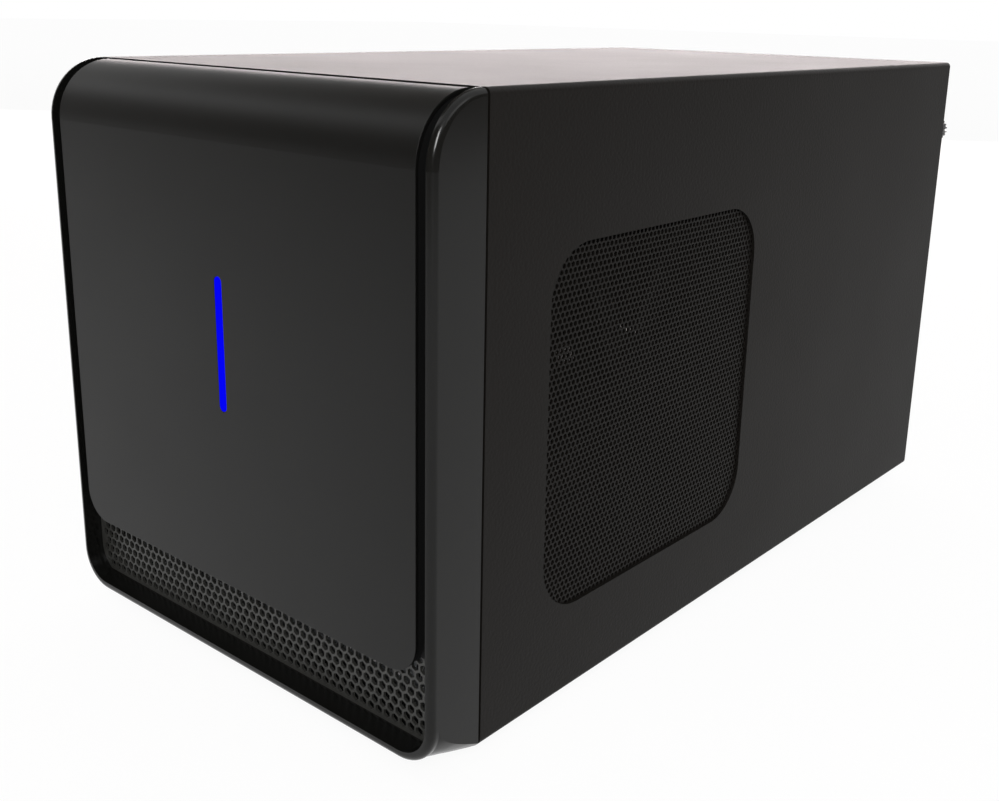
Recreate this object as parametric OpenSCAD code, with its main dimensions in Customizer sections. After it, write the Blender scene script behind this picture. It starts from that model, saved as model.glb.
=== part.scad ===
// Desktop expansion chassis for one PCI Express card: a steel tray with a moulded front bezel,
// a folded sleeve that slides off to the back, a side fan, a small power supply and a slot board.
// The front faces -Y, up is +Z and the feet stand on z = 0.

/* [Case] */
// Width of the case over its side sheets
case_w = 185; // [180:1:200]
// Depth from the bezel's front to the back of the cover
case_d = 340; // [335:1:380]
// Height of the cover and bezel, without the feet
case_h = 196; // [190:1:215]
// Height that the feet lift the case
foot_h = 6; // [4:0.5:10]
// Thickness of the cover's steel sheet
cover_t = 1; // [0.8:0.1:1.4]
// Outer radius of the cover's folds
fold_r = 2; // [1.6:0.1:3]
// Width of the strip that the cover turns in at its back
flange_w = 12; // [12:0.5:13]
// Width of the strips that the cover turns in under the tray
return_w = 10; // [6:0.5:12]
// Clearance between the cover and the frame that it slides over
slide_gap = 0.4; // [0.3:0.05:0.6]
// Gap that shows as a dark seam between bezel and cover
seam_gap = 0.9; // [0.5:0.1:1.2]
// Thickness of the tray, rear panel and bracket sheet
frame_t = 1.2; // [1:0.1:1.5]
// Height of the tray's side lips
lip_h = 12; // [8:0.5:14]

/* [Bezel] */
// Depth of the bezel, which is also the radius of its top edge
bezel_d = 20.5; // [19:0.5:24]
// Thickness of the bezel's rim
rim_t = 2.5; // [2.5:0.1:3]
// Radius along the front edges of the rim
rim_r = 2.3; // [1:0.1:2.4]
// Radius of the bezel's lower corners, seen from the front
corner_r = 14; // [11:0.5:16]
// Depth of the groove round the fascia
groove_d = 4.5; // [3.5:0.5:5]
// Thickness of the bezel's face behind the groove
face_t = 2; // [1.6:0.1:2.5]

/* [Fascia] */
// Width of the groove between fascia and rim
fascia_gap = 4.1; // [3:0.1:6]
// Height of the fascia's lower edge above the bezel's
fascia_z = 28.8; // [26:0.2:34]
// Thickness of the fascia plate
fascia_t = 1; // [0.8:0.1:1.5]
// Radius of the fascia's lower corners
fascia_r = 11; // [6:0.5:14]
// Width of the light bar
light_w = 3.4; // [2.5:0.1:6]
// Height of the light bar
light_h = 44; // [30:1:60]
// Height of the light bar's centre above the bezel's lower edge
light_z = 112; // [100:1:130]

/* [Vents] */
// Thickness of the front grille
grille_t = 1; // [0.8:0.1:1.5]
// Width across the flats of the front grille's holes
grille_hole = 2.7; // [2.4:0.1:2.9]
// Spacing of the front grille's holes
grille_pitch = 3.5; // [3.4:0.1:4]
// Width and height of the side vents
vent_w = 119; // [110:1:124]
// Corner radius of the side vents
vent_r = 18; // [12:1:24]
// Distance from the front to the middle of the side vents
vent_y = 109.3; // [102:0.5:116]
// Height of the middle of the side vents above the cover's lower edge
vent_z = 90; // [86:1:98]
// Thickness of the side meshes
mesh_t = 0.8; // [0.6:0.1:1]
// Strip of the side mesh that overlaps the cover round the vent
mesh_border = 6; // [4:0.5:8]
// Diameter of the side mesh's holes
mesh_hole = 4.8; // [4:0.1:5.2]
// Spacing of the side mesh's holes
mesh_pitch = 6.4; // [6:0.1:8]

/* [Case fan] */
// Width and height of the case fan
fan_w = 120; // [118:1:120]
// Depth of the case fan
fan_d = 25; // [20:1:25]
// Spacing of the case fan's mounting holes
fan_hole_pitch = 105; // [103:1:106]
// Diameter of the case fan's hub
fan_hub = 42; // [36:1:48]
// Number of blades on the case fan
fan_blades = 7; // [5:1:9]

/* [Power supply] */
// Width of the power supply
psu_w = 63.5; // [60:0.5:66]
// Height of the power supply
psu_h = 125; // [118:1:130]
// Depth of the power supply
psu_d = 100; // [96:1:104]
// Thickness of the power supply's sheet
psu_t = 0.9; // [0.8:0.1:1.2]
// Strip of the power supply's side behind its fan
psu_fan_rear = 16.6; // [16.5:0.1:18]
// Depth of the power supply's fan
psu_fan_d = 15; // [12:0.5:16]
// Angle between the switch's rocker and its frame
rocker_tilt = 10; // [6:1:12]

/* [Slot board] */
// Length of the board from front to back
board_d = 166; // [160:1:170]
// Thickness of the board
board_t = 1.6; // [1.2:0.1:2]
// Height of the standoffs
standoff_h = 6; // [5:0.5:7]
// Distance of the card's plane from the power supply
card_in = 33.2; // [31:0.1:36]
// Length of the card socket
slot_l = 89; // [86:0.5:90]
// Spacing of the expansion slots
slot_pitch = 20.32; // [20:0.01:21]
// Width of a slot cover
cover_plate_w = 18.42; // [18:0.02:19]
// Height of a slot cover
cover_plate_h = 118; // [114:1:120]

/* [Hidden] */
$fn = 64;

// Overrun of every cut past the face that it opens
over = 1;
// Radial clearance of a pin that turns in its bore
run_gap = 0.05;
// Radial clearance of a screw or rivet in its hole
hole_gap = 0.1;
// Clearance between fixed pieces that don't touch
rest_gap = 0.2;
sides = [-1, 1];

// Levels and planes, all measured from the bezel's front and the floor
case_z = foot_h;
top_z = case_z + case_h;
arc_z = top_z - bezel_d;
in_x = case_w / 2 - cover_t - mesh_t - slide_gap;
tray_z = case_z + cover_t + slide_gap;
floor_z = tray_z + frame_t;
roof_z = top_z - cover_t - slide_gap;
bay_y = bezel_d + frame_t;
back_y = case_d - cover_t - slide_gap;
panel_y = back_y - frame_t;
cover_y = bezel_d + seam_gap;

// Thumbscrews of the cover
thumb_r = 2;
thumb_in = 6.6;
thumb_down = 31;
thumb_tip = 4;
knob_r = 5.4;
knob_h = 8;
knob_gap = 0.2;
knob_collar_h = 1.5;
knob_collar_share = 0.8;
knob_ridges = 20;
knob_ridge_r = 0.5;
knob_slot_w = 1.2;
knob_slot_d = 1.6;
thumb_x = case_w / 2 - thumb_in;
thumb_z = top_z - thumb_down;
front_y = -(case_d + knob_gap + knob_h) / 2;

// Bezel, fascia and grille
rim_x = case_w / 2 - rim_t;
sill_h = 3.2;
sill_rise = 1.6;
window_up = 5.2;
grille_y = groove_d + face_t;
window_z = case_z + fascia_z + window_up;
fascia_x = rim_x - fascia_gap;
fascia_in = 0.4;
pad_y = fascia_in + fascia_t;
pad_x = fascia_x - fascia_t / 2;
pad_back_y = pad_y + face_t;
pocket_z = case_z + fascia_z + fascia_r + face_t;
boss_r = 4;
boss_in = 10;
boss_low_up = 46;
boss_top_in = 36;
boss_high_up = case_h - boss_top_in;
boss_hole_r = 1.5;
boss_hole_d = 12;
boss_x = fascia_x - boss_in;
grille_hold = 4;
blend_y = rim_r * 3 / 2;

// Light behind the fascia
lamp_y = 9.1;
lamp_t = 0.9;
lamp_w = 3;
lamp_count = 5;
light_board_t = 1.6;
light_board_w = 14;
light_board_up = 8;
guide_lip = 2;
guide_lip_t = 1.2;
light_screw_r = 1.2;
light_boss_r = 3;
light_boss_up = 5;
light_plug_w = 7;
light_plug_h = 5;
light_plug_t = 2;
light_board_y = lamp_y + lamp_t;
light_cz = case_z + light_z;
light_boss_z = light_h / 2 + light_boss_up;

// Screws and rivets
head_r = 2.8;
head_h = 1.8;
socket_r = 1.3;
socket_d = 1;
screw_r = 1.4;
rivet_r = 1.6;
rivet_head_r = 3;
rivet_head_h = 0.9;
rivet_tail = 1.2;
tab_w = 12;

// Tray
wall_slots = 13;
wall_slot_w = 5;
wall_slot_h = 15;
wall_slot_pitch = 11.5;
wall_slot_up = 8;
grommet_r = 6;
grommet_bore_r = 2.4;
grommet_lip = 1.4;
grommet_x = -34;
grommet_up = 36;
grommet_z = floor_z + grommet_up;

// Feet
foot_r = 9;
foot_taper = 1.2;
foot_in_x = 26;
foot_in_y = 40;
foot_round = 1.2;
foot_recess_r = 3.6;
foot_recess_d = 4.2;
foot_screw_r = 1.9;
foot_screw_tip = 1;
foot_x = case_w / 2 - foot_in_x;

// Fan bracket and case fan
bracket_gap = 0.4;
bracket_t = 1;
bracket_border = 5;
bracket_foot_w = 14;
fan_wall = 2.2;
fan_rim_t = 4;
fan_corner_r = 7;
fan_post_r = 5.2;
fan_strut_w = 5;
fan_strut_t = 3;
fan_strut_angle = 28;
fan_tip_gap = 1.4;
fan_hole_r = 2.15;
shaft_r = 1.5;
bearing_r = 4.5;
hub_wall = 1.6;
hub_gap = 1;
blade_t = 1.5;
blade_camber_share = 0.9;
blade_pitch = 38;
blade_arc = 46;
fan_screw_r = 2;
fan_screw_tip = 9;
bracket_x = in_x - frame_t - bracket_gap - bracket_t;
fan_x = bracket_x - fan_d;
fan_cz = case_z + vent_z;
fan_plug_y = 6;

// Power supply
psu_gap = 0.4;
psu_window_in = 4.5;
psu_fan_front = 3.4;
psu_fan_low = 4;
psu_screw_in = 5.5;
psu_screw_out = 12;
psu_screw_pad = 7;
psu_x1 = in_x - frame_t - psu_gap;
psu_x0 = psu_x1 - psu_w;
psu_z0 = floor_z + frame_t + rest_gap;
psu_z1 = psu_z0 + psu_h;
psu_y0 = panel_y - psu_d;
psu_fan_w = psu_d - psu_fan_front - psu_fan_rear;
psu_fan_cz = psu_z0 + psu_fan_low + psu_fan_w / 2;
psu_fan_cy = psu_y0 + psu_fan_front + psu_fan_w / 2;
psu_fan_hole_share = 0.894;
psu_fan_hub = 30;
psu_fan_blades = 9;
guard_t = 1.2;
guard_wire = 1.6;
guard_eye_r = 3.6;
guard_rings = 4;
guard_spokes = 4;
guard_first_r = 13;
lid_turn = 3;
psu_board_up = 4;
psu_board_in = 5;
psu_board_top = 38;
psu_standoff_r = 2.5;
harness_hole_r = 8;
harness_up = 108;
psu_vent_hole = 4.2;
psu_vent_pitch = 5.4;
psu_vent_rows = 13;
psu_vent_cols = 8;
psu_vent_low = 12;
inlet_w = 27;
inlet_h = 19.6;
inlet_lip = 2;
inlet_lip_t = 1.8;
inlet_d = 16;
inlet_wall = 1.4;
inlet_chamfer = 4.5;
inlet_pocket_d = 14;
inlet_in_x = 20.2;
inlet_in_z = 27;
pin_w = 2;
pin_h = 4;
pin_reach = 8;
pin_side = 7;
pin_rise = 2.2;
pin_tail = 5;
switch_in_x = 45.5;
switch_w = 13;
switch_h = 20;
switch_d = 14;
switch_lip = 1.3;
switch_lip_t = 1.6;
rocker_w = 10;
rocker_r = 8;
rocker_gap = 0.3;
rocker_pin_r = 1.2;
rocker_pin_l = 0.8;
rocker_in = 2.4;
inlet_x = psu_x0 + inlet_in_x;
inlet_z = psu_z1 - inlet_in_z;
switch_x = psu_x0 + switch_in_x;
rocker_y = panel_y + switch_lip_t - rocker_in;

// Slot board and what stands on it; the slot covers' back faces lie at plate_y
recess_d = 13;
plate_y = panel_y - recess_d;
board_side = 6.3;
board_psu_gap = 7.2;
board_x0 = board_side - in_x;
board_x1 = psu_x0 - board_psu_gap;
board_back = 21;
port_tab_w = 24;
port_tab_d = 12;
board_hole_in = 5;
standoff_r = 3;
board_screw_r = 1.25;
board_z = floor_z + standoff_h;
board_top = board_z + board_t;
board_y1 = panel_y - board_back;
board_y0 = board_y1 - board_d;
socket_w = 7.5;
socket_h = 11.25;
socket_groove_w = 1.9;
socket_groove_d = 8.5;
socket_back = 47;
socket_key = 11.7;
socket_key_w = 1.9;
socket_edge = 2.4;
latch_l = 10;
latch_w = 4.2;
latch_wall = 1.2;
latch_gap = 0.2;
latch_pin_r = 1;
latch_up = 4.5;
latch_h = 13;
latch_arm_t = 2.6;
latch_open = 30;
chip_w = 20;
chip_t = 1.2;
die_w = 12;
die_t = 0.8;
chip_in_x = 34;
chip_in_y = 30;
sink_w = 40;
sink_base = 2.5;
sink_h = 10.5;
fin_count = 11;
fin_t = 1.2;
header_w = 18;
header_d = 10;
header_h = 12;
header_in_x = 12;
header_in_y = 34;
header_pins = 4;
header_hole = 3.2;
fan_header_w = 10.5;
fan_header_d = 6;
fan_header_h = 8;
fan_header_in_y = 12;
light_header_in = 14;
fan_header_wall = 1;
cap_r = 4;
cap_h = 11;
cap_count = 5;
cap_pitch = 11;
cap_in_x = 13;
choke_w = 10;
choke_h = 7;
choke_count = 3;
choke_pitch = 13;
choke_in = 14;
choke_bevel = 1.5;
port_w = 9;
port_h = 3.2;
port_l = 14;
port_wall = 0.4;
port_tongue_t = 0.7;
port_gap = 1;
port_x = board_x0 + port_tab_w / 2;
card_x = psu_x0 - card_in;
chip_x = board_x0 + chip_in_x;
header_x = board_x1 - header_in_x;
light_header_x = card_x - light_header_in;
cap_x = board_x1 - cap_in_x;
choke_x = card_x - choke_in;
socket_y1 = plate_y - socket_back;
socket_y0 = socket_y1 - slot_l;

// Expansion frame and slot covers
plate_t = 0.9;
plate_side = 7.5;
frame_side = 3;
frame_turn = 8;
window_w = 14;
window_h = 92;
window_low = 14;
plate_low = 4;
plate_tab = 11;
tongue_w = 10;
tongue_h = 9;
slot_screw_r = 1.75;
slot_screw_in = 6.4;
slot_screw_l = 5;
plate_z0 = floor_z + plate_low;
ledge_z = plate_z0 + cover_plate_h - plate_t;
plate_x = [card_x - plate_side, card_x - plate_side - slot_pitch];
exp_x1 = plate_x[0] + cover_plate_w / 2 + frame_side;
exp_x0 = plate_x[1] - cover_plate_w / 2 - frame_side;

// Rear panel vents, lock slot and port cut-out
rear_hole = 4.6;
rear_pitch = 6.2;
rear_rows = 5;
rear_cols = 24;
rear_vent_in = 31;
lock_w = 7;
lock_h = 3;
lock_down = 46;
lock_in = 26;
port_cut = 1.2;

// Brace
brace_x = 45;
brace_w = 22;
brace_h = 8;
brace_hole_in = 6;

// Leads, with the handles of their curves
lead_r = 1.6;
harness_r = 4;
lead_drop = 36;
lead_steps = 9;
lead_sides = 8;

// Draws in the frame whose y = 0 is the bezel's front
module placed() {
    translate([0, front_y, 0]) children();
}

// Plate across the case: an outline in x and z, from y to y + t
module across(y, t) {
    translate([0, y + t, 0]) rotate([90, 0, 0]) linear_extrude(t) children();
}

// Plate along the case: an outline in y and z, from x to x + t
module along(x, t) {
    translate([x, 0, 0]) rotate([90, 0, 90]) linear_extrude(t) children();
}

// Quarter turn over the bezel's top edge of a section in radius and x
module over_top() {
    translate([0, bezel_d, arc_z]) rotate([90, 0, -90]) rotate_extrude(angle = 90) children();
}

// Rectangle with round corners about the origin
module rounded(w, h, r) {
    square([w - 2 * r, h], center = true);
    square([w, h - 2 * r], center = true);
    for (sx = sides, sy = sides) {
        translate([sx * (w / 2 - r), sy * (h / 2 - r)]) circle(r);
    }
}

// Upright slot with round ends about the origin
module round_slot(w, h) {
    square([w, h - w], center = true);
    for (s = sides) translate([0, s * (h - w) / 2]) circle(w / 2);
}

// Rectangle whose two lower corners are round
module low_rounded(half_w, low, high, r) {
    translate([-half_w, low + r]) square([2 * half_w, high - low - r]);
    translate([r - half_w, low]) square([2 * (half_w - r), high - low]);
    for (s = sides) translate([s * (half_w - r), low + r]) circle(r);
}

// Staggered holes of radius r on a grid of rows and columns about the origin
module hole_field(rows, cols, pitch, r, faces) {
    row_pitch = pitch * sqrt(3) / 2;
    for (j = [0 : rows - 1], i = [0 : cols - 1]) {
        shift = j % 2 == 0 ? 0 : pitch / 2;
        x = (i - (cols - 1) / 2) * pitch + shift - pitch / 4;
        translate([x, (j - (rows - 1) / 2) * row_pitch]) rotate(30) circle(r, $fn = faces);
    }
}

// Screw along +Z with its head on z = 0 and its shank below
module screw(r, l, big_r, h) {
    difference() {
        union() {
            translate([0, 0, -l]) cylinder(h = l, r = r);
            cylinder(h = h, r = big_r);
        }
        translate([0, 0, h - socket_d]) cylinder(h = socket_d + over, r = socket_r, $fn = 6);
    }
}

// Domed rivet along +Z with its head on z = 0 and its tail l + rivet_tail below
module rivet(l) {
    cylinder(h = rivet_head_h, r1 = rivet_head_r, r2 = rivet_r);
    translate([0, 0, -l]) cylinder(h = l, r = rivet_r);
    translate([0, 0, -l - rivet_tail]) cylinder(h = rivet_tail, r = rivet_r + hole_gap + rest_gap);
}

// Point at share t of the cubic curve with handles c
function curve(c, t) =
    c[0] * pow(1 - t, 3) + 3 * c[1] * t * pow(1 - t, 2) + 3 * c[2] * t * t * (1 - t) + c[3] * pow(t, 3);
function unit(v) = v / norm(v);

// Straight run as a cubic
function straight(a, b) = [a, (2 * a + b) / 3, (a + 2 * b) / 3, b];

// Round lead of radius r along the cubic curves in route, each of four points
module lead(route, r) {
    path = concat(
        [for (c = route, k = [0 : lead_steps - 1]) curve(c, k / lead_steps)],
        [route[len(route) - 1][3]]
    );
    last = len(path) - 1;
    across_v = unit([1, 0.35, 0.2]);
    tangents = [for (k = [0 : last]) unit(path[min(k + 1, last)] - path[max(k - 1, 0)])];
    normals = [for (t = tangents) unit(across_v - t * (across_v * t))];
    points = [
        for (k = [0 : last], a = [0 : lead_sides - 1])
            path[k] + r * cos(360 * a / lead_sides) * normals[k]
                + r * sin(360 * a / lead_sides) * cross(tangents[k], normals[k])
    ];
    tube = [
        for (k = [0 : last - 1], a = [0 : lead_sides - 1], half = [0, 1])
            let (b = (a + 1) % lead_sides, p = k * lead_sides, q = p + lead_sides)
                half == 0 ? [p + a, q + a, q + b] : [p + a, q + b, p + b]
    ];
    start = [for (a = [0 : lead_sides - 1]) a];
    end = [for (a = [lead_sides - 1 : -1 : 0]) last * lead_sides + a];
    polyhedron(points = points, faces = concat(tube, [start, end]));
}

// Bezel: moulded rim, quarter-round top, recess for the fascia and window for the grille

module bezel_section() {
    translate([0, rim_r - case_w / 2]) square([bezel_d, case_w - 2 * rim_r]);
    translate([0, -case_w / 2]) square([bezel_d - rim_r, case_w]);
    for (s = sides) translate([bezel_d - rim_r, s * (case_w / 2 - rim_r)]) circle(rim_r);
}

module bezel_opening(low, high, inset) {
    r = corner_r - rim_t - inset;
    low_rounded(rim_x - inset, low, high, r);
}

// Cutter that rounds the bezel's lower front edge between its corners
module rim_edge_cut() {
    along(corner_r - case_w / 2, case_w - 2 * corner_r) difference() {
        translate([-over, case_z - over]) square(rim_r + over);
        translate([rim_r, case_z + rim_r]) circle(rim_r);
    }
}

// Cutter that turns a lower corner and its front edge round, and opens as a cone to leave the
// corner almost square at the seam
module corner_cut() {
    far = corner_r * sqrt(2) + over;
    seam_r = far - over - fold_r * (sqrt(2) - 1);
    slope = (seam_r - corner_r) / (bezel_d - blend_y);
    translate([case_w / 2 - corner_r, 0, case_z + corner_r]) rotate([-90, 0, 0])
        rotate_extrude(angle = 90) difference() {
            polygon([
                [corner_r - rim_r, -over], [far, -over], [far, bezel_d + over],
                [seam_r + slope * over, bezel_d + over], [corner_r, blend_y], [corner_r, rim_r],
                [corner_r - rim_r, rim_r]
            ]);
            translate([corner_r - rim_r, rim_r]) circle(rim_r);
        }
}

// Section of the bezel beside the window's top: rim, groove and face
module groove_section() {
    difference() {
        bezel_section();
        translate([bezel_d - groove_d, -rim_x]) square([groove_d + over, 2 * rim_x]);
        translate([-over, -rim_x]) square([bezel_d - grille_y + over, 2 * rim_x]);
    }
}

// Section behind the fascia, whose seat is hollow from the back
module seat_section() {
    difference() {
        bezel_section();
        for (x = [-rim_x, pad_x]) translate([bezel_d - groove_d, x]) square([groove_d + over, rim_x - pad_x]);
        translate([bezel_d - pad_y, -rim_x]) square([pad_y + over, 2 * rim_x]);
        for (x = [-rim_x, pad_x - face_t]) translate([-over, x])
            square([bezel_d - grille_y + over, rim_x - pad_x + face_t]);
        translate([-over, face_t - pad_x]) square([bezel_d - pad_back_y + over, 2 * (pad_x - face_t)]);
    }
}

// Upright run of a bezel section from one level to another
module bezel_run(low, high) {
    translate([0, bezel_d, low]) rotate([0, 0, -90]) linear_extrude(high - low) children();
}

// Lower end of the bezel: rim round the open window, with a sill that slopes up to the grille
module bezel_foot() {
    difference() {
        bezel_run(case_z, window_z) bezel_section();
        intersection() {
            across(-over, bezel_d) bezel_opening(case_z + sill_h, window_z + over, 0);
            along(-case_w, 2 * case_w) polygon([
                [-2 * over, case_z + sill_h], [0, case_z + sill_h],
                [grille_y, case_z + sill_h + sill_rise], [grille_y + 2 * over, case_z + sill_h + sill_rise],
                [grille_y + 2 * over, arc_z], [-2 * over, arc_z]
            ]);
        }
        across(grille_y, bezel_d) bezel_opening(case_z + rim_t, window_z + over, 0);
        rim_edge_cut();
        for (s = [0, 1]) mirror([s, 0, 0]) corner_cut();
    }
}

module front_bezel() placed() color("#1b1b1c") {
    difference() {
        union() {
            bezel_run(window_z, pocket_z) groove_section();
            bezel_run(pocket_z, arc_z) seat_section();
            over_top() seat_section();
        }
        light_cut();
    }
    across(pad_y, groove_d - pad_y + face_t / 2)
        low_rounded(pad_x, case_z + fascia_z + fascia_t / 2, pocket_z, fascia_r - fascia_t / 2);
    bezel_foot();
    bezel_bosses();
}

module light_cut() {
    across(0, grille_y + over) translate([0, light_cz])
        round_slot(light_w + 2 * hole_gap, light_h + 2 * hole_gap);
}

module bezel_bosses() {
    difference() {
        for (s = sides, up = [boss_low_up, boss_high_up])
            translate([s * boss_x, bezel_d, case_z + up]) rotate([90, 0, 0])
                cylinder(h = bezel_d - pad_y - face_t / 2, r = boss_r);
        for (s = sides, up = [boss_low_up, boss_high_up])
            translate([s * boss_x, bezel_d + over, case_z + up]) rotate([90, 0, 0])
                cylinder(h = boss_hole_d + over, r = boss_hole_r);
    }
    difference() {
        for (s = sides) translate([0, light_board_y, light_cz + s * light_boss_z]) rotate([90, 0, 0])
            cylinder(h = light_board_y - pad_y - face_t / 2, r = light_boss_r);
        for (s = sides) translate([0, light_board_y + over, light_cz + s * light_boss_z])
            rotate([90, 0, 0]) cylinder(h = light_board_y + over - pad_back_y, r = light_screw_r + hole_gap);
    }
}

module front_fascia() placed() color("#3a3a3c") difference() {
    union() {
        across(fascia_in, fascia_t) low_rounded(fascia_x, case_z + fascia_z, arc_z, fascia_r);
        over_top() translate([bezel_d - pad_y, -fascia_x]) square([fascia_t, 2 * fascia_x]);
    }
    light_cut();
}

module front_grille() placed() color("#2b2b2d") {
    high = window_z + grille_hold;
    row_pitch = grille_pitch * sqrt(3) / 2;
    rows = floor((window_z - case_z - sill_h - sill_rise) / row_pitch);
    cols = floor((2 * rim_x - grille_pitch) / grille_pitch);
    across(grille_y, grille_t) difference() {
        bezel_opening(case_z + rim_t + rest_gap, high, rest_gap);
        intersection() {
            translate([0, (case_z + sill_h + sill_rise + window_z) / 2])
                hole_field(rows, cols, grille_pitch, grille_hole / sqrt(3), 6);
            bezel_opening(case_z + sill_h + sill_rise / 2, window_z, rest_gap + sill_rise);
        }
    }
}

module light_guide() placed() color("#0a14ff") translate([0, 0, light_cz]) {
    across(fascia_in, lamp_y - hole_gap - fascia_in) round_slot(light_w, light_h);
    across(pad_back_y, guide_lip_t) round_slot(light_w + 2 * guide_lip, light_h + 2 * guide_lip);
}

module light_board() placed() color("#1f5a33") translate([0, 0, light_cz]) {
    across(light_board_y, light_board_t) difference() {
        rounded(light_board_w, 2 * (light_boss_z + light_board_up - light_boss_r), guide_lip);
        for (s = sides) translate([0, s * light_boss_z]) circle(light_screw_r + hole_gap);
    }
    across(light_board_y + light_board_t, light_plug_t) square([light_plug_w, light_plug_h], center = true);
}

module light_lamps() placed() color("#f2f2e6") {
    pitch = (light_h - light_w) / (lamp_count - 1);
    for (k = [0 : lamp_count - 1]) translate([0, 0, light_cz + (k - (lamp_count - 1) / 2) * pitch])
        across(lamp_y, lamp_t) square(lamp_w, center = true);
}

module light_screws() placed() color("#8a8c90") {
    for (s = sides) translate([0, light_board_y + light_board_t, light_cz + s * light_boss_z])
        rotate([-90, 0, 0]) screw(light_screw_r, light_board_t + light_screw_r, head_r, head_h);
}

// From the light's plug through the grommet, down to the floor and up to its header
module light_lead() placed() color("#202022") {
    plug = [0, light_board_y + light_board_t + light_plug_t + hole_gap, light_cz];
    start = plug + [0, lead_r, 0];
    mouth = [grommet_x, bezel_d - 2 * grommet_lip, grommet_z];
    inner = [grommet_x, bay_y + 2 * grommet_lip, grommet_z];
    floor_a = [grommet_x, inner[1] + lead_drop, floor_z + lead_r + rest_gap];
    floor_b = [grommet_x, board_y0 - lead_drop, floor_z + lead_r + rest_gap];
    end = [light_header_x, board_y0 + fan_header_in_y, board_top + fan_header_h + rest_gap];
    bend = [0, 3 * lead_r, 0];
    lead([
        straight(plug, start),
        [start, start + bend, mouth - bend, mouth],
        straight(mouth, inner),
        [inner, inner + [0, lead_drop / 2, 0], floor_a - [0, lead_drop / 2, 0], floor_a],
        straight(floor_a, floor_b),
        [floor_b, floor_b + [0, lead_drop * 3 / 4, 0], end + [0, -lead_r, lead_drop / 3], end]
    ], lead_r);
}

module bezel_screws() placed() color("#8a8c90") {
    for (s = sides, up = [boss_low_up, boss_high_up])
        translate([s * boss_x, bay_y, case_z + up]) rotate([-90, 0, 0])
            screw(screw_r, frame_t + boss_hole_d - over, head_r, head_h);
}

// Tray: floor, side lips and front wall, folded from one sheet

module front_wall_outline() {
    difference() {
        translate([-in_x, tray_z]) square([2 * in_x, roof_z - tray_z]);
        for (k = [0 : wall_slots - 1])
            translate([(k - (wall_slots - 1) / 2) * wall_slot_pitch, floor_z + wall_slot_up])
                translate([0, wall_slot_h / 2])
                round_slot(wall_slot_w, wall_slot_h);
        for (s = sides, up = [boss_low_up, boss_high_up])
            translate([s * boss_x, case_z + up]) circle(screw_r + hole_gap);
        translate([grommet_x, grommet_z]) circle(grommet_r);
        translate([0, light_cz]) circle(light_board_w);
    }
}

module base_tray() placed() color("#9a9ca0") {
    difference() {
        union() {
            translate([-in_x, bezel_d, tray_z]) cube([2 * in_x, back_y - bezel_d, frame_t]);
            for (x = [-in_x, in_x - frame_t]) translate([x, bezel_d + frame_t / 2, tray_z + frame_t / 2])
                cube([frame_t, panel_y - rest_gap - bezel_d - frame_t / 2, lip_h + frame_t / 2]);
            translate([-in_x, bezel_d, roof_z - frame_t]) cube([2 * in_x, tab_w, frame_t]);
            across(bezel_d, frame_t) front_wall_outline();
        }
        for (s = sides, y = [foot_in_y, case_d - foot_in_y])
            translate([s * foot_x, y, tray_z - over])
                cylinder(h = frame_t + 2 * over, r = foot_screw_r + hole_gap);
        for (p = floor_rivets()) translate([p[0], p[1], tray_z - over])
            cylinder(h = frame_t + 2 * over, r = rivet_r + hole_gap);
        brace_holes(roof_z - 2 * frame_t);
    }
}

module lead_grommet() placed() color("#161616") translate([grommet_x, 0, grommet_z]) {
    difference() {
        union() {
            across(bezel_d - grommet_lip, frame_t + 2 * grommet_lip) circle(grommet_r - hole_gap);
            for (y = [bezel_d - grommet_lip, bay_y]) across(y, grommet_lip) circle(grommet_r + grommet_lip);
        }
        across(0, case_d) circle(grommet_bore_r);
    }
}

// Places of the rivets that go down through the tray's floor
function floor_rivets() = concat(
    [for (x = [-in_x + tab_w, 0, psu_x0 - tab_w]) [x, panel_y - tab_w / 2]],
    [for (s = sides) [bracket_x - bracket_foot_w / 2 - bracket_t, vent_y + s * fan_hole_pitch * 0.4]]
);

// Rear panel with its turned strips, windows and vents
module rear_panel() placed() color("#1d1d1f") difference() {
    union() {
        across(panel_y, frame_t) difference() {
            translate([-in_x, floor_z]) square([2 * in_x, roof_z - floor_z]);
            translate([exp_x0 + frame_t, plate_z0 - frame_t])
                square([exp_x1 - exp_x0 - 2 * frame_t, ledge_z - plate_z0 + frame_t]);
            psu_window();
            translate([port_x, board_top + port_h / 2])
                rounded(port_w + 2 * port_cut, port_h + 2 * port_cut, port_cut);
            translate([0, roof_z - rear_vent_in])
                hole_field(rear_rows, rear_cols, rear_pitch, rear_hole / sqrt(3), 6);
            translate([-in_x + lock_in, top_z - lock_down - 3 * lock_w]) rounded(lock_w, lock_h, lock_h / 3);
            for (s = sides) translate([s * thumb_x, thumb_z]) circle(thumb_r + run_gap);
            for (p = frame_rivets_at()) translate(p) circle(rivet_r + hole_gap);
        }
        difference() {
            translate([frame_t + rest_gap - in_x, panel_y - tab_w, floor_z])
                cube([2 * (in_x - frame_t - rest_gap), tab_w + frame_t / 2, frame_t]);
            translate([exp_x0 - frame_turn, panel_y - tab_w - over, floor_z - over])
                cube([exp_x1 - exp_x0 + 2 * frame_turn, tab_w + over, frame_t + 2 * over]);
        }
        translate([exp_x1 + frame_turn, panel_y - tab_w, roof_z - frame_t])
            cube([in_x - exp_x1 - frame_turn, tab_w + frame_t / 2, frame_t]);
    }
    for (p = floor_rivets()) translate([p[0], p[1], floor_z - over])
        cylinder(h = frame_t + 2 * over, r = rivet_r + hole_gap);
    brace_holes(roof_z - 2 * frame_t);
}

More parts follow.
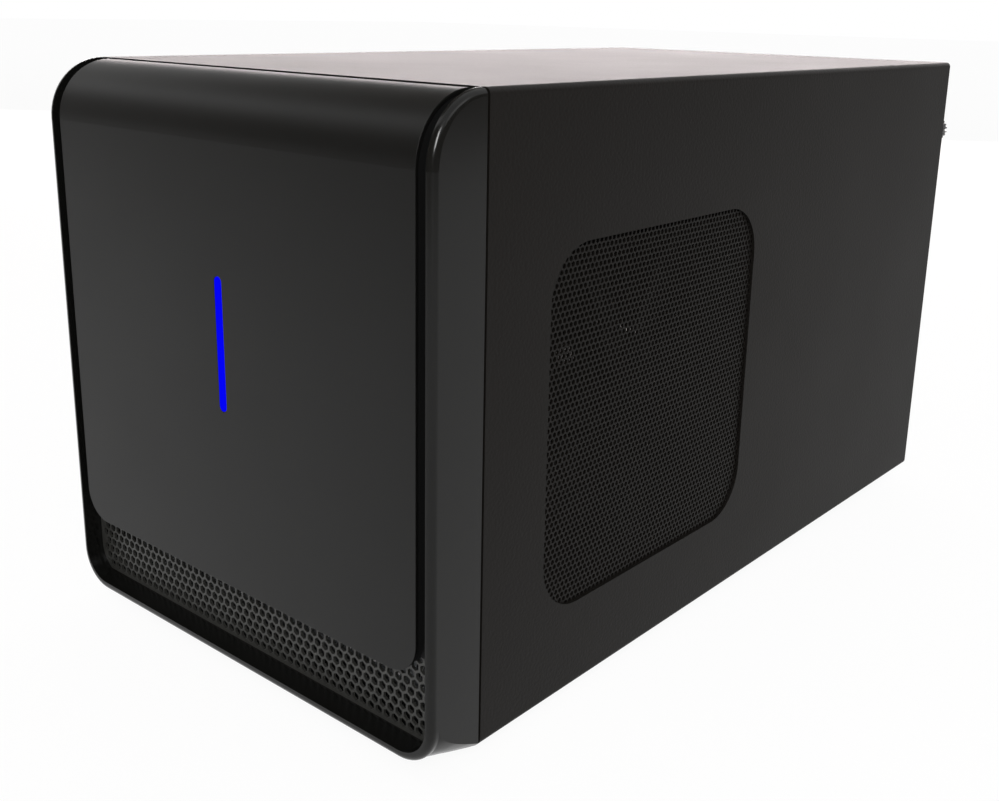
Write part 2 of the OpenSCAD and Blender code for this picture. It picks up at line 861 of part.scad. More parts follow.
module psu_window() {
    difference() {
        translate([psu_x0 + psu_window_in, psu_z0 + psu_window_in])
            square([psu_w - 2 * psu_window_in, psu_h - 2 * psu_window_in]);
        psu_corners() circle(psu_screw_pad);
    }
    psu_corners() circle(screw_r + hole_gap);
}

module psu_corners() {
    for (x = [psu_x0 + psu_screw_in, psu_x1 - psu_screw_out])
        for (z = [psu_z0 + psu_screw_in, psu_z1 - psu_screw_in]) translate([x, z]) children();
}

// Places of the rivets that hold the expansion frame to the rear panel, in x and z
function frame_rivets_at() = [
    for (x = [exp_x0 - frame_turn / 2, exp_x1 + frame_turn / 2], up = [0.2, 0.75])
        [x, plate_z0 + up * cover_plate_h]
];

module frame_rivets() placed() color("#a8aaae") {
    for (p = floor_rivets()) translate([p[0], p[1], floor_z + (p[1] > case_d / 2 ? frame_t : bracket_t)])
        rivet(frame_t + (p[1] > case_d / 2 ? frame_t : bracket_t));
    for (p = frame_rivets_at()) translate([p[0], back_y, p[1]]) rotate([-90, 0, 0]) rivet(2 * frame_t);
}

module brace_holes(z) {
    for (x = [brace_x - brace_w / 4, brace_x + brace_w / 4],
         y = [bezel_d + brace_hole_in, back_y - brace_hole_in])
        translate([x, y, z - over]) cylinder(h = 3 * frame_t + 2 * over, r = screw_r + hole_gap);
}

module top_brace() placed() color("#9a9ca0") {
    z = roof_z - frame_t;
    difference() {
        translate([brace_x - brace_w / 2, bay_y + rest_gap, z - brace_h])
            cube([brace_w, panel_y - bay_y - 2 * rest_gap, brace_h]);
        translate([brace_x - brace_w / 2 + frame_t, bay_y - over, z - brace_h - over])
            cube([brace_w - 2 * frame_t, case_d, brace_h - frame_t + over]);
        brace_holes(z - frame_t);
    }
}

module brace_screws() placed() color("#8a8c90") {
    for (x = [brace_x - brace_w / 4, brace_x + brace_w / 4],
         y = [bezel_d + brace_hole_in, back_y - brace_hole_in])
        translate([x, y, roof_z - 2 * frame_t]) rotate([180, 0, 0])
            screw(screw_r, 2 * frame_t, head_r, head_h);
}

// Cover: folded sleeve with side vents, turned-in back and bottom strips

module sleeve_outline(inset, r) {
    w = case_w - 2 * inset;
    h = case_h - 2 * inset;
    translate([0, case_z + case_h / 2]) rounded(w, h, r);
}

module outer_cover() placed() color("#222123") difference() {
    union() {
        across(cover_y, case_d - cover_y) difference() {
            sleeve_outline(0, fold_r);
            sleeve_outline(cover_t, fold_r - cover_t);
            translate([return_w - case_w / 2, case_z - over])
                square([case_w - 2 * return_w, cover_t + 2 * over]);
        }
        across(case_d - cover_t, cover_t) difference() {
            sleeve_outline(0, fold_r);
            translate([flange_w - case_w / 2, case_z - over])
                square([case_w - 2 * flange_w, case_h - flange_w + over]);
        }
    }
    along(-case_w, 2 * case_w) translate([vent_y, case_z + vent_z]) rounded(vent_w, vent_w, vent_r);
    across(case_d - 2 * cover_t, 4 * cover_t)
        for (s = sides) translate([s * thumb_x, thumb_z]) circle(thumb_r + 3 * hole_gap);
}

// Perforated sheet behind a vent, drawn about the vent's middle
module mesh_outline() {
    row_pitch = mesh_pitch * sqrt(3) / 2;
    half = vent_w / 2 - mesh_hole / 2;
    turn = vent_r - mesh_hole / 2;
    rows = floor(half / row_pitch);
    cols = floor(half / mesh_pitch);
    difference() {
        rounded(vent_w + 2 * mesh_border, vent_w + 2 * mesh_border, mesh_border);
        for (j = [-rows : rows], i = [-cols - 1 : cols]) {
            y = (i + (j % 2 == 0 ? 0 : 0.5)) * mesh_pitch;
            z = j * row_pitch;
            out = [max(abs(y) - half + turn, 0), max(abs(z) - half + turn, 0)];
            if (norm(out) <= turn) translate([y, z]) circle(mesh_hole / 2, $fn = 16);
        }
    }
}

module side_mesh(x) placed() color("#1c1c1d")
    along(x, mesh_t) translate([vent_y, case_z + vent_z]) mesh_outline();

module side_mesh_right() side_mesh(case_w / 2 - cover_t - mesh_t);
module side_mesh_left() side_mesh(cover_t - case_w / 2);

module thumbscrew(s) placed() color("#2c2c2e")
    translate([s * thumb_x, case_d + knob_gap, thumb_z]) rotate([-90, 0, 0]) difference() {
        union() {
            translate([0, 0, panel_y - thumb_tip - case_d])
                cylinder(h = case_d - panel_y + thumb_tip + knob_gap, r = thumb_r);
            cylinder(h = knob_collar_h, r = knob_r * knob_collar_share);
            translate([0, 0, knob_collar_h]) cylinder(h = knob_h - knob_collar_h, r = knob_r);
        }
        for (k = [0 : knob_ridges - 1]) rotate(360 * k / knob_ridges)
            translate([knob_r, 0, knob_collar_h - over]) cylinder(h = knob_h, r = knob_ridge_r);
        translate([-knob_r - over, -knob_slot_w / 2, knob_h - knob_slot_d])
            cube([2 * (knob_r + over), knob_slot_w, knob_slot_d + over]);
    }

module thumbscrew_right() thumbscrew(1);
module thumbscrew_left() thumbscrew(-1);

module foot(s, y) placed() color("#131313") translate([s * foot_x, y, 0]) rotate_extrude() difference() {
    union() {
        translate([foot_r - foot_taper - foot_round, foot_round]) circle(foot_round);
        polygon([
            [0, 0], [foot_r - foot_taper - foot_round, 0], [foot_r - foot_taper, foot_round],
            [foot_r, tray_z], [0, tray_z]
        ]);
    }
    translate([-over, -over]) square([foot_recess_r + over, foot_recess_d + over]);
    translate([-over, -over]) square([foot_screw_r + hole_gap + over, tray_z + 2 * over]);
    translate([-2 * foot_r, -over]) square([2 * foot_r, tray_z + 2 * over]);
}

module foot_front_right() foot(1, foot_in_y);
module foot_front_left() foot(-1, foot_in_y);
module foot_rear_right() foot(1, case_d - foot_in_y);
module foot_rear_left() foot(-1, case_d - foot_in_y);

module foot_screws() placed() color("#8a8c90") {
    for (s = sides, y = [foot_in_y, case_d - foot_in_y])
        translate([s * foot_x, y, foot_recess_d]) rotate([180, 0, 0])
            screw(foot_screw_r, floor_z - foot_recess_d + foot_screw_tip, head_r, head_h);
}

// Fan bracket: upright sheet with a round opening, and strips turned in above and below
module fan_bracket() placed() color("#222123") {
    half = fan_w / 2 + bracket_border;
    difference() {
        union() {
            along(bracket_x, bracket_t)
                translate([vent_y - half, floor_z]) square([2 * half, fan_cz + half - floor_z]);
            translate([bracket_x - bracket_foot_w, vent_y - half, floor_z])
                cube([bracket_foot_w + bracket_t / 2, 2 * half, bracket_t]);
            translate([bracket_x - bracket_foot_w, vent_y - half, fan_cz + half - bracket_t])
                cube([bracket_foot_w + bracket_t / 2, 2 * half, bracket_t]);
        }
        along(bracket_x - over, bracket_t + 2 * over) translate([vent_y, fan_cz]) {
            circle(fan_w / 2 - fan_wall);
            for (sy = sides, sz = sides)
                translate([sy, sz] * fan_hole_pitch / 2) circle(fan_screw_r + hole_gap);
        }
        for (p = floor_rivets()) translate([p[0], p[1], floor_z - over])
            cylinder(h = bracket_t + 2 * over, r = rivet_r + hole_gap);
    }
}

// Fan frame about the origin, with its struts on z = 0 and air leaving there
module fan_frame(w, d, holes, hub) {
    bore_r = w / 2 - fan_wall;
    difference() {
        union() {
            linear_extrude(fan_rim_t) rounded(w, w, fan_corner_r);
            translate([0, 0, d - fan_rim_t]) linear_extrude(fan_rim_t) rounded(w, w, fan_corner_r);
            linear_extrude(d) intersection() {
                square(w, center = true);
                circle(w / 2 + fan_wall / 2);
            }
            for (sx = sides, sy = sides) translate([sx * holes / 2, sy * holes / 2, 0])
                cylinder(h = d, r = fan_post_r);
        }
        translate([0, 0, -over]) cylinder(h = d + 2 * over, r = bore_r);
        for (sx = sides, sy = sides) translate([sx * holes / 2, sy * holes / 2, -over])
            cylinder(h = d + 2 * over, r = fan_hole_r);
    }
    difference() {
        union() {
            for (k = [0 : 3]) rotate(90 * k + fan_strut_angle) translate([hub / 4, -fan_strut_w / 2, 0])
                cube([bore_r - hub / 4 + fan_wall / 3, fan_strut_w, fan_strut_t]);
            cylinder(h = fan_strut_t, r = hub / 2);
            cylinder(h = d / 2, r = bearing_r);
        }
        translate([0, 0, -over]) cylinder(h = d, r = shaft_r + run_gap);
    }
}

// Fan rotor about the origin: cup, shaft and cambered blades
module fan_rotor(w, d, hub, blades) {
    low = fan_strut_t + hub_gap;
    high = d - hub_gap;
    tip_r = w / 2 - fan_wall - fan_tip_gap;
    difference() {
        translate([0, 0, low]) cylinder(h = high - low, r = hub / 2);
        translate([0, 0, low - over]) cylinder(h = high - low - hub_wall + over, r = hub / 2 - hub_wall);
    }
    translate([0, 0, fan_strut_t / 2]) cylinder(h = high - fan_strut_t / 2 - hub_wall / 2, r = shaft_r);
    for (k = [0 : blades - 1]) rotate(360 * k / blades) fan_blade(hub / 2, tip_r, low, high, blades);
}

// One blade: a pie slice of a thin cylinder wall whose axis lies along the blade
module fan_blade(r0, r1, low, high, blades) {
    chord = (high - low) / sin(blade_pitch);
    bend_r = chord * blade_camber_share;
    intersection() {
        translate([0, 0, low + hub_gap]) linear_extrude(high - low - 2 * hub_gap) difference() {
            circle(r1);
            circle(r0 - hub_wall / 2);
        }
        translate([0, 0, (low + high) / 2]) rotate([blade_pitch, 0, 0])
            translate([0, 0, -sqrt(bend_r * bend_r - chord * chord / 4)]) rotate([0, 90, 0])
                linear_extrude(r1 + over) intersection() {
                    difference() {
                        circle(bend_r + blade_t / 2);
                        circle(bend_r - blade_t / 2);
                    }
                    translate([-2 * bend_r, -chord / 2]) square([2 * bend_r, chord]);
                }
    }
}

module case_fan_at() {
    translate([fan_x, vent_y, fan_cz]) rotate([0, 90, 0]) children();
}

module case_fan_frame() placed() color("#1a1a1b")
    case_fan_at() fan_frame(fan_w, fan_d, fan_hole_pitch, fan_hub);
module case_fan_rotor() placed() color("#242426") case_fan_at() fan_rotor(fan_w, fan_d, fan_hub, fan_blades);

module case_fan_screws() placed() color("#26262a") {
    for (sy = sides, sz = sides)
        translate([bracket_x + bracket_t, vent_y + sy * fan_hole_pitch / 2, fan_cz + sz * fan_hole_pitch / 2])
            rotate([0, 90, 0]) screw(fan_screw_r, bracket_t + fan_screw_tip, 2 * fan_screw_r, frame_t);
}

module case_fan_lead() placed() color("#1b1b1d") {
    start = [fan_x - lead_r, vent_y + fan_w / 2 - fan_plug_y, fan_cz - fan_w / 2 + fan_plug_y];
    end = [header_x, board_y0 + fan_header_in_y, board_top + fan_header_h + rest_gap];
    drop = start[2] - end[2];
    lead([[start, start - [drop, 0, 0], end + [drop / 3, 0, drop], end]], lead_r);
}

// Power supply

module psu_rear_openings() {
    translate([inlet_x, inlet_z]) square([inlet_w + 2 * hole_gap, inlet_h + 2 * hole_gap], center = true);
    translate([switch_x, inlet_z]) square([switch_w + 2 * hole_gap, switch_h + 2 * hole_gap], center = true);
    psu_corners() circle(screw_r + hole_gap);
    translate([(psu_x0 + psu_x1) / 2, psu_z0 + psu_vent_low + psu_vent_rows * psu_vent_pitch * 0.45])
        hole_field(psu_vent_rows, psu_vent_cols, psu_vent_pitch, psu_vent_hole / sqrt(3), 6);
}

module psu_case() placed() color("#8e9094") difference() {
    union() {
        difference() {
            translate([psu_x0 + psu_t, psu_y0, psu_z0]) cube([psu_w - psu_t, psu_d, psu_h]);
            translate([psu_x0 - over, psu_y0 + psu_t, psu_z0 + psu_t])
                cube([psu_w - psu_t + over, psu_d - 2 * psu_t, psu_h - 2 * psu_t]);
        }
        psu_board_holes() cylinder(h = psu_board_up + psu_t / 2, r = psu_standoff_r);
    }
    across(panel_y - 2 * psu_t, 3 * psu_t) psu_rear_openings();
    translate([psu_x0 + 2 * harness_hole_r, psu_y0 - over, psu_z0 + harness_up]) rotate([-90, 0, 0])
        cylinder(h = psu_t + 2 * over, r = harness_hole_r);
}

// Corners of the power supply's board, looking in from its side wall
module psu_board_holes() {
    for (y = [psu_y0 + 3 * psu_board_in, panel_y - 5 * psu_board_in],
         z = [psu_z0 + 3 * psu_board_in, psu_z1 - psu_board_top - psu_board_in])
        translate([psu_x1 - psu_t / 2, y, z]) rotate([0, -90, 0]) children();
}

module psu_lid() placed() color("#8e9094") difference() {
    union() {
        along(psu_x0, psu_t) translate([psu_y0, psu_z0]) square([psu_d, psu_h]);
        along(psu_x0 + psu_t / 2, lid_turn) translate([psu_y0, psu_z0]) difference() {
            translate([psu_t, psu_t] + [hole_gap, hole_gap])
                square([psu_d - 2 * psu_t - 2 * hole_gap, psu_h - 2 * psu_t - 2 * hole_gap]);
            translate([2 * psu_t, 2 * psu_t] + [hole_gap, hole_gap])
                square([psu_d - 4 * psu_t - 2 * hole_gap, psu_h - 4 * psu_t - 2 * hole_gap]);
        }
    }
    along(psu_x0 - over, psu_t + 2 * over)
        translate([psu_fan_cy, psu_fan_cz]) circle(psu_fan_w / 2 - fan_wall);
}

// Stamped guard over the fan's opening: rings, spokes and four eyes for the screws
module psu_fan_guard() placed() color("#b9bbbf") along(psu_x0 - guard_t, guard_t)
    translate([psu_fan_cy, psu_fan_cz]) {
        step = (psu_fan_w / 2 - guard_first_r) / (guard_rings - 1);
        eye = psu_fan_w * psu_fan_hole_share / 2;
        for (k = [0 : guard_rings - 1]) difference() {
            circle(guard_first_r + k * step + guard_wire / 2);
            circle(guard_first_r + k * step - guard_wire / 2);
        }
        difference() {
            for (k = [0 : guard_spokes - 1]) rotate(360 * k / guard_spokes + 45) {
                translate([guard_first_r, -guard_wire / 2])
                    square([eye * sqrt(2) - guard_first_r, guard_wire]);
                translate([eye * sqrt(2), 0]) circle(guard_eye_r);
            }
            for (sy = sides, sz = sides) translate([sy * eye, sz * eye]) circle(screw_r + hole_gap);
        }
    }

module psu_fan_at() {
    translate([psu_x0 + psu_t + psu_fan_d, psu_fan_cy, psu_fan_cz]) rotate([0, -90, 0]) children();
}

module psu_fan_frame() placed() color("#1a1a1b")
    psu_fan_at() fan_frame(psu_fan_w, psu_fan_d, psu_fan_w * psu_fan_hole_share, psu_fan_hub);
module psu_fan_rotor() placed() color("#242426")
    psu_fan_at() fan_rotor(psu_fan_w, psu_fan_d, psu_fan_hub, psu_fan_blades);

module psu_board() placed() color("#7a6a2e")
    along(psu_x1 - psu_t - psu_board_up - board_t, board_t)
        translate([psu_y0 + psu_board_in, psu_z0 + psu_board_in])
            square([psu_d - psu_board_in - inlet_d - psu_board_in, psu_h - psu_board_in - psu_board_top]);

// Transformer, reservoir capacitors and heat sinks on the power supply's board
module psu_components() placed() color("#3b3b40") {
    face_x = psu_x1 - psu_t - psu_board_up - board_t;
    mid_y = psu_y0 + psu_board_in + cap_pitch;
    reach = face_x - psu_x0 - psu_t - psu_fan_d - harness_r;
    for (k = [0, 1]) translate([face_x, mid_y, psu_z0 + (2 + 2 * k) * cap_pitch]) rotate([0, -90, 0])
        cylinder(h = reach, r = 2 * cap_r);
    translate([face_x - reach, mid_y + cap_pitch, psu_z0 + cap_pitch]) cube([reach, fan_wall, 5 * cap_pitch]);
    translate([face_x - reach, mid_y + 2 * cap_pitch, psu_z0 + 2 * cap_pitch])
        cube([reach, 2 * cap_pitch, 2 * cap_pitch]);
}

module power_inlet() placed() color("#111112") translate([inlet_x, 0, inlet_z]) difference() {
    union() {
        across(panel_y, inlet_lip_t) rounded(inlet_w + 2 * inlet_lip, inlet_h + 2 * inlet_lip, inlet_lip);
        across(panel_y - inlet_d, inlet_d + inlet_lip_t / 2) square([inlet_w, inlet_h], center = true);
    }
    across(panel_y + inlet_lip_t - inlet_pocket_d, inlet_pocket_d + over) inlet_pocket();
    across(panel_y - inlet_d - over, inlet_d)
        inlet_pins_at() square([pin_w + 2 * hole_gap, pin_h + 2 * hole_gap], center = true);
}

// Mouth of the inlet, with its two upper corners cut off
module inlet_pocket() {
    half_w = inlet_w / 2 - inlet_wall;
    half_h = inlet_h / 2 - inlet_wall;
    polygon([
        [-half_w, -half_h], [half_w, -half_h], [half_w, half_h - inlet_chamfer],
        [half_w - inlet_chamfer, half_h], [inlet_chamfer - half_w, half_h], [-half_w, half_h - inlet_chamfer]
    ]);
}

module inlet_pins_at() {
    for (p = [[-pin_side, -pin_rise], [0, pin_rise], [pin_side, -pin_rise]]) translate(p) children();
}

module inlet_pins() placed() color("#c9c9cc") translate([inlet_x, 0, inlet_z])
    across(panel_y - inlet_d - pin_tail, pin_tail + inlet_d + inlet_lip_t - inlet_pocket_d + pin_reach)
        inlet_pins_at() square([pin_w, pin_h], center = true);

module switch_housing() placed() color("#111112") difference() {
    translate([switch_x, 0, inlet_z]) {
        across(panel_y, switch_lip_t)
            rounded(switch_w + 2 * switch_lip, switch_h + 2 * switch_lip, switch_lip);
        across(panel_y - switch_d, switch_d + switch_lip_t / 2) square([switch_w, switch_h], center = true);
    }
    rocker_axis(rocker_w / 2 + rocker_gap) cylinder(h = rocker_w + 2 * rocker_gap, r = rocker_r + rocker_gap);
    translate([switch_x - rocker_w / 2 - rocker_gap, rocker_y, inlet_z - rocker_r - rocker_gap])
        cube([rocker_w + 2 * rocker_gap, rocker_r, 2 * (rocker_r + rocker_gap)]);
    rocker_axis(rocker_w / 2 + rocker_pin_l + rocker_gap)
        cylinder(h = rocker_w + 2 * (rocker_pin_l + rocker_gap), r = rocker_pin_r + run_gap);
}

// Draws along +X on the rocker's axis, from half to the left of its middle
module rocker_axis(half) {
    translate([switch_x - half, rocker_y, inlet_z]) rotate([0, 90, 0]) children();
}

// Rocker: a drum on two stub axles, cut to two shallow faces that meet at its middle
module switch_rocker() placed() color("#18181a") {
    crest = rocker_in + switch_lip_t;
    translate([switch_x, rocker_y, inlet_z]) rotate([-rocker_tilt, 0, 0]) difference() {
        rotate([0, 90, 0]) {
            translate([0, 0, -rocker_w / 2]) cylinder(h = rocker_w, r = rocker_r);
            translate([0, 0, -rocker_w / 2 - rocker_pin_l])
                cylinder(h = rocker_w + 2 * rocker_pin_l, r = rocker_pin_r);
        }
        for (s = sides) translate([0, crest / 2, 0]) rotate([s * rocker_tilt, 0, 0])
            translate([-rocker_w / 2 - over, 0, s < 0 ? 0 : -2 * rocker_r])
                cube([rocker_w + 2 * over, 2 * rocker_r, 2 * rocker_r]);
    }
}

module psu_screws() placed() color("#8a8c90") {
    for (x = [psu_x0 + psu_screw_in, psu_x1 - psu_screw_out], z = [psu_z0, psu_z1 - 2 * psu_screw_in])
        translate([x, back_y, z + psu_screw_in]) rotate([-90, 0, 0])
            screw(screw_r, frame_t + psu_t + screw_r, head_r, slide_gap);
}

module psu_harness() placed() color("#1b1b1d") {
    start = [psu_x0 + 2 * harness_hole_r, psu_y0 + psu_t, psu_z0 + harness_up];
    end = [header_x, board_y0 + header_in_y, board_top + header_h + 2 * rest_gap];
    reach = (start[1] - end[1]) / 2;
    turn = [psu_x0 - harness_r, start[1] - reach, (start[2] + end[2]) / 2];
    lead([
        [start, start - [0, reach, 0], turn + [0, 0, reach], turn],
        [turn, turn - [0, 0, reach], end + [0, 0, reach], end]
    ], harness_r);
}

// Expansion frame: recessed back plate with two windows, side walls and a ledge for the screws
module expansion_frame() placed() color("#1d1d1f") difference() {
    union() {
        across(plate_y, frame_t) translate([exp_x0, plate_z0 - frame_t])
            square([exp_x1 - exp_x0, ledge_z - plate_z0 + frame_t]);
        for (x = [exp_x0, exp_x1 - frame_t]) translate([x, plate_y, plate_z0 - frame_t])
            cube([frame_t, recess_d, ledge_z - plate_z0 + frame_t]);
        for (z = [plate_z0 - 2 * frame_t, ledge_z - frame_t]) translate([exp_x0, plate_y, z])
            cube([exp_x1 - exp_x0, recess_d, frame_t]);
        for (x = [exp_x0 - frame_turn, exp_x1 - frame_t / 2])
            translate([x, panel_y - frame_t, plate_z0 - frame_t])
                cube([frame_turn + frame_t / 2, frame_t, ledge_z - plate_z0 + frame_t]);
    }
    for (x = plate_x) translate([x - window_w / 2, plate_y - over, plate_z0 + window_low])
        cube([window_w, frame_t + 2 * over, window_h]);
    for (x = plate_x) translate([x, plate_y + slot_screw_in, ledge_z - frame_t - over])
        cylinder(h = frame_t + 2 * over, r = slot_screw_r + hole_gap);
    for (p = frame_rivets_at()) translate([p[0], panel_y - frame_t - over, p[1]]) rotate([-90, 0, 0])
        cylinder(h = frame_t + 2 * over, r = rivet_r + hole_gap);
}

// Slot cover: plate with a tongue below and a notched tab above
module slot_cover(x) placed() color("#b4b6ba") {
    across(plate_y - plate_t, plate_t) translate([x, 0]) {
        translate([-cover_plate_w / 2, plate_z0 + tongue_h])
            square([cover_plate_w, cover_plate_h - tongue_h]);
        translate([-tongue_w / 2, plate_z0]) square([tongue_w, tongue_h + plate_t]);
    }
    difference() {
        translate([x - cover_plate_w / 2, plate_y - plate_t / 2, ledge_z])
            cube([cover_plate_w, plate_tab, plate_t]);
        translate([x, plate_y + slot_screw_in, ledge_z - over])
            cylinder(h = plate_t + 2 * over, r = slot_screw_r + hole_gap);
        translate([x, plate_y + slot_screw_in - slot_screw_r - hole_gap, ledge_z - over])
            cube([cover_plate_w, 2 * (slot_screw_r + hole_gap), plate_t + 2 * over]);
    }
}

module slot_cover_1() slot_cover(plate_x[0]);
module slot_cover_2() slot_cover(plate_x[1]);

module slot_screws() placed() color("#8a8c90") {
    for (x = plate_x) translate([x, plate_y + slot_screw_in, ledge_z + plate_t])
        screw(slot_screw_r, slot_screw_l, head_r + head_h / 2, head_h);
}

// Slot board

function board_holes() = [
    for (x = [board_x0 + board_hole_in, board_x1 - board_hole_in],
         y = [board_y0 + board_hole_in, (board_y0 + board_y1) / 2, board_y1 - board_hole_in]) [x, y]
];

module controller_board() placed() color("#1d3a2a")
    translate([0, 0, board_z]) linear_extrude(board_t) difference() {
        union() {
            translate([board_x0, board_y0]) square([board_x1 - board_x0, board_d]);
            translate([board_x0, board_y1 - board_hole_in]) square([port_tab_w, port_tab_d + board_hole_in]);
        }
        for (p = board_holes()) translate(p) circle(board_screw_r + 2 * hole_gap);
    }

module board_standoffs() placed() color("#c8a24a") difference() {
    for (p = board_holes())
        translate([p[0], p[1], floor_z]) cylinder(h = standoff_h, r = standoff_r, $fn = 6);
    for (p = board_holes())
        translate([p[0], p[1], floor_z + over]) cylinder(h = standoff_h, r = board_screw_r + hole_gap);
}

module board_screws() placed() color("#8a8c90") {
    for (p = board_holes())
        translate([p[0], p[1], board_top]) screw(board_screw_r, board_t + head_r, head_r, head_h);
}

module card_socket() placed() color("#141415") difference() {
    union() {
        translate([card_x - socket_w / 2, socket_y0, board_top]) cube([socket_w, slot_l, socket_h]);
        for (s = sides)
            translate([s * (latch_w + latch_wall + 2 * latch_gap) / 2 - latch_wall / 2, 0, 0])
                translate([card_x, socket_y0 - latch_l, board_top])
                    cube([latch_wall, latch_l + over, socket_h - latch_arm_t]);
    }
    difference() {
        translate([card_x - socket_groove_w / 2, socket_y0 + socket_edge, board_top])
            translate([0, 0, socket_h - socket_groove_d])
                cube([socket_groove_w, slot_l - 2 * socket_edge, socket_groove_d + over]);
        translate([card_x - socket_w / 2, socket_y1 - socket_edge - socket_key - socket_key_w, board_top])
            cube([socket_w, socket_key_w, socket_h]);
    }
    latch_axis(socket_w) cylinder(h = 2 * socket_w, r = latch_pin_r + run_gap);
}

// Draws along +X on the latch's axis, from half to the left of the card's plane
module latch_axis(half) {
    translate([card_x - half, socket_y0 - latch_l / 2, board_top + latch_up]) rotate([0, 90, 0]) children();
}

// Latch: a lever on a pin, with a hook over the card's notch and a pad for the thumb
module socket_latch() placed() color("#d8d8d4") {
    latch_axis(latch_w / 2 + latch_gap + latch_wall)
        cylinder(h = latch_w + 2 * (latch_gap + latch_wall), r = latch_pin_r);
    translate([card_x - latch_w / 2, socket_y0 - latch_l / 2, board_top + latch_up]) {
        rotate([0, 90, 0]) cylinder(h = latch_w, r = latch_arm_t);
        translate([0, -latch_arm_t, 0]) cube([latch_w, latch_arm_t + latch_gap, latch_h - latch_up]);
        translate([0, -latch_arm_t, latch_h - latch_up - latch_arm_t])
            cube([latch_w, latch_l / 2 + latch_arm_t - 2 * latch_gap, latch_arm_t]);
        translate([0, -latch_l, latch_h - latch_up - latch_arm_t]) cube([latch_w, latch_l, latch_arm_t / 2]);
    }
}

module controller_chip() placed() color("#1c1c1f") translate([chip_x, board_y0 + chip_in_y, board_top]) {
    translate([-chip_w / 2, -chip_w / 2, 0]) cube([chip_w, chip_w, chip_t]);
    translate([-die_w / 2, -die_w / 2, chip_t / 2]) cube([die_w, die_w, chip_t / 2 + die_t]);
}

module chip_heatsink() placed() color("#a9abb0")
    translate([chip_x - sink_w / 2, board_y0 + chip_in_y - sink_w / 2, board_top + chip_t + die_t]) {
        cube([sink_w, sink_w, sink_base]);
        for (k = [0 : fin_count - 1]) translate([k * (sink_w - fin_t) / (fin_count - 1), 0, sink_base / 2])
            cube([fin_t, sink_w, sink_h - sink_base / 2]);
    }

module host_port() placed() color("#b9bbbf") {
    y = panel_y - port_gap - port_l;
    translate([port_x, 0, board_top + port_h / 2]) {
        across(y, port_l) difference() {
            rounded(port_w, port_h, port_h / 2 - port_wall);
            rounded(port_w - 2 * port_wall, port_h - 2 * port_wall, port_h / 2 - 2 * port_wall);
        }
        across(y, port_l / 4) rounded(port_w - port_wall, port_h - port_wall, port_h / 2 - 2 * port_wall);
        across(y, port_l - port_gap) square([port_w - 2 * port_h / 2, port_tongue_t], center = true);
    }
}

module power_header() placed() color("#161617")
    translate([header_x, board_y0 + header_in_y, board_top]) difference() {
        translate([-header_w / 2, -header_d / 2, 0]) cube([header_w, header_d, header_h]);
        pin_pitch = header_w / (header_pins + rest_gap);
        for (k = [0 : header_pins - 1], s = sides)
            translate([(k - (header_pins - 1) / 2) * pin_pitch, s * header_d / 4, header_h / 2])
                translate([-header_hole / 2, -header_hole / 2, 0])
                    cube([header_hole, header_hole, header_h]);
    }

// Two small headers, for the case fan and for the light
module fan_header() placed() color("#e8e6dc")
    for (x = [header_x, light_header_x]) translate([x, board_y0 + fan_header_in_y, board_top]) difference() {
        translate([-fan_header_w / 2, -fan_header_d / 2, 0]) cube([fan_header_w, fan_header_d, fan_header_h]);
        translate([fan_header_wall - fan_header_w / 2, fan_header_wall - fan_header_d / 2, fan_header_wall])
            cube([fan_header_w - 2 * fan_header_wall, fan_header_d, fan_header_h]);
    }

module board_capacitors() placed() color("#3c3f46")
    for (k = [0 : cap_count - 1])
        translate([cap_x, socket_y0 + (k + 1 / 2) * cap_pitch, board_top]) cylinder(h = cap_h, r = cap_r);

module board_chokes() placed() color("#4a4a4e")
    for (k = [0 : choke_count - 1]) translate([choke_x, socket_y0 + (k + 1 / 2) * choke_pitch, board_top])
        linear_extrude(choke_h) rounded(choke_w, choke_w, choke_bevel);

front_bezel();
front_fascia();
front_grille();
light_guide();
light_board();
light_lamps();
light_screws();
light_lead();
bezel_screws();
base_tray();
lead_grommet();
rear_panel();
frame_rivets();
top_brace();
brace_screws();
outer_cover();
side_mesh_right();
side_mesh_left();
thumbscrew_right();
thumbscrew_left();
foot_front_right();
foot_front_left();
foot_rear_right();
foot_rear_left();
foot_screws();
fan_bracket();
case_fan_frame();
case_fan_rotor();
case_fan_screws();
case_fan_lead();
psu_case();
psu_lid();
psu_fan_guard();
psu_fan_frame();
psu_fan_rotor();
psu_board();
psu_components();
power_inlet();
inlet_pins();
switch_housing();
switch_rocker();
psu_screws();
psu_harness();
expansion_frame();
slot_cover_1();
slot_cover_2();
slot_screws();
controller_board();
board_standoffs();
board_screws();
card_socket();
socket_latch();
controller_chip();
chip_heatsink();
host_port();
power_header();
fan_header();
board_capacitors();
board_chokes();
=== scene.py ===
"""A desktop expansion chassis for one card: its finishes, its fine perforations and its small parts.

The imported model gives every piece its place. The front faces -Y, up is +Z and all lengths are metres.
"""

import math

import bpy
from mathutils import Matrix, Vector


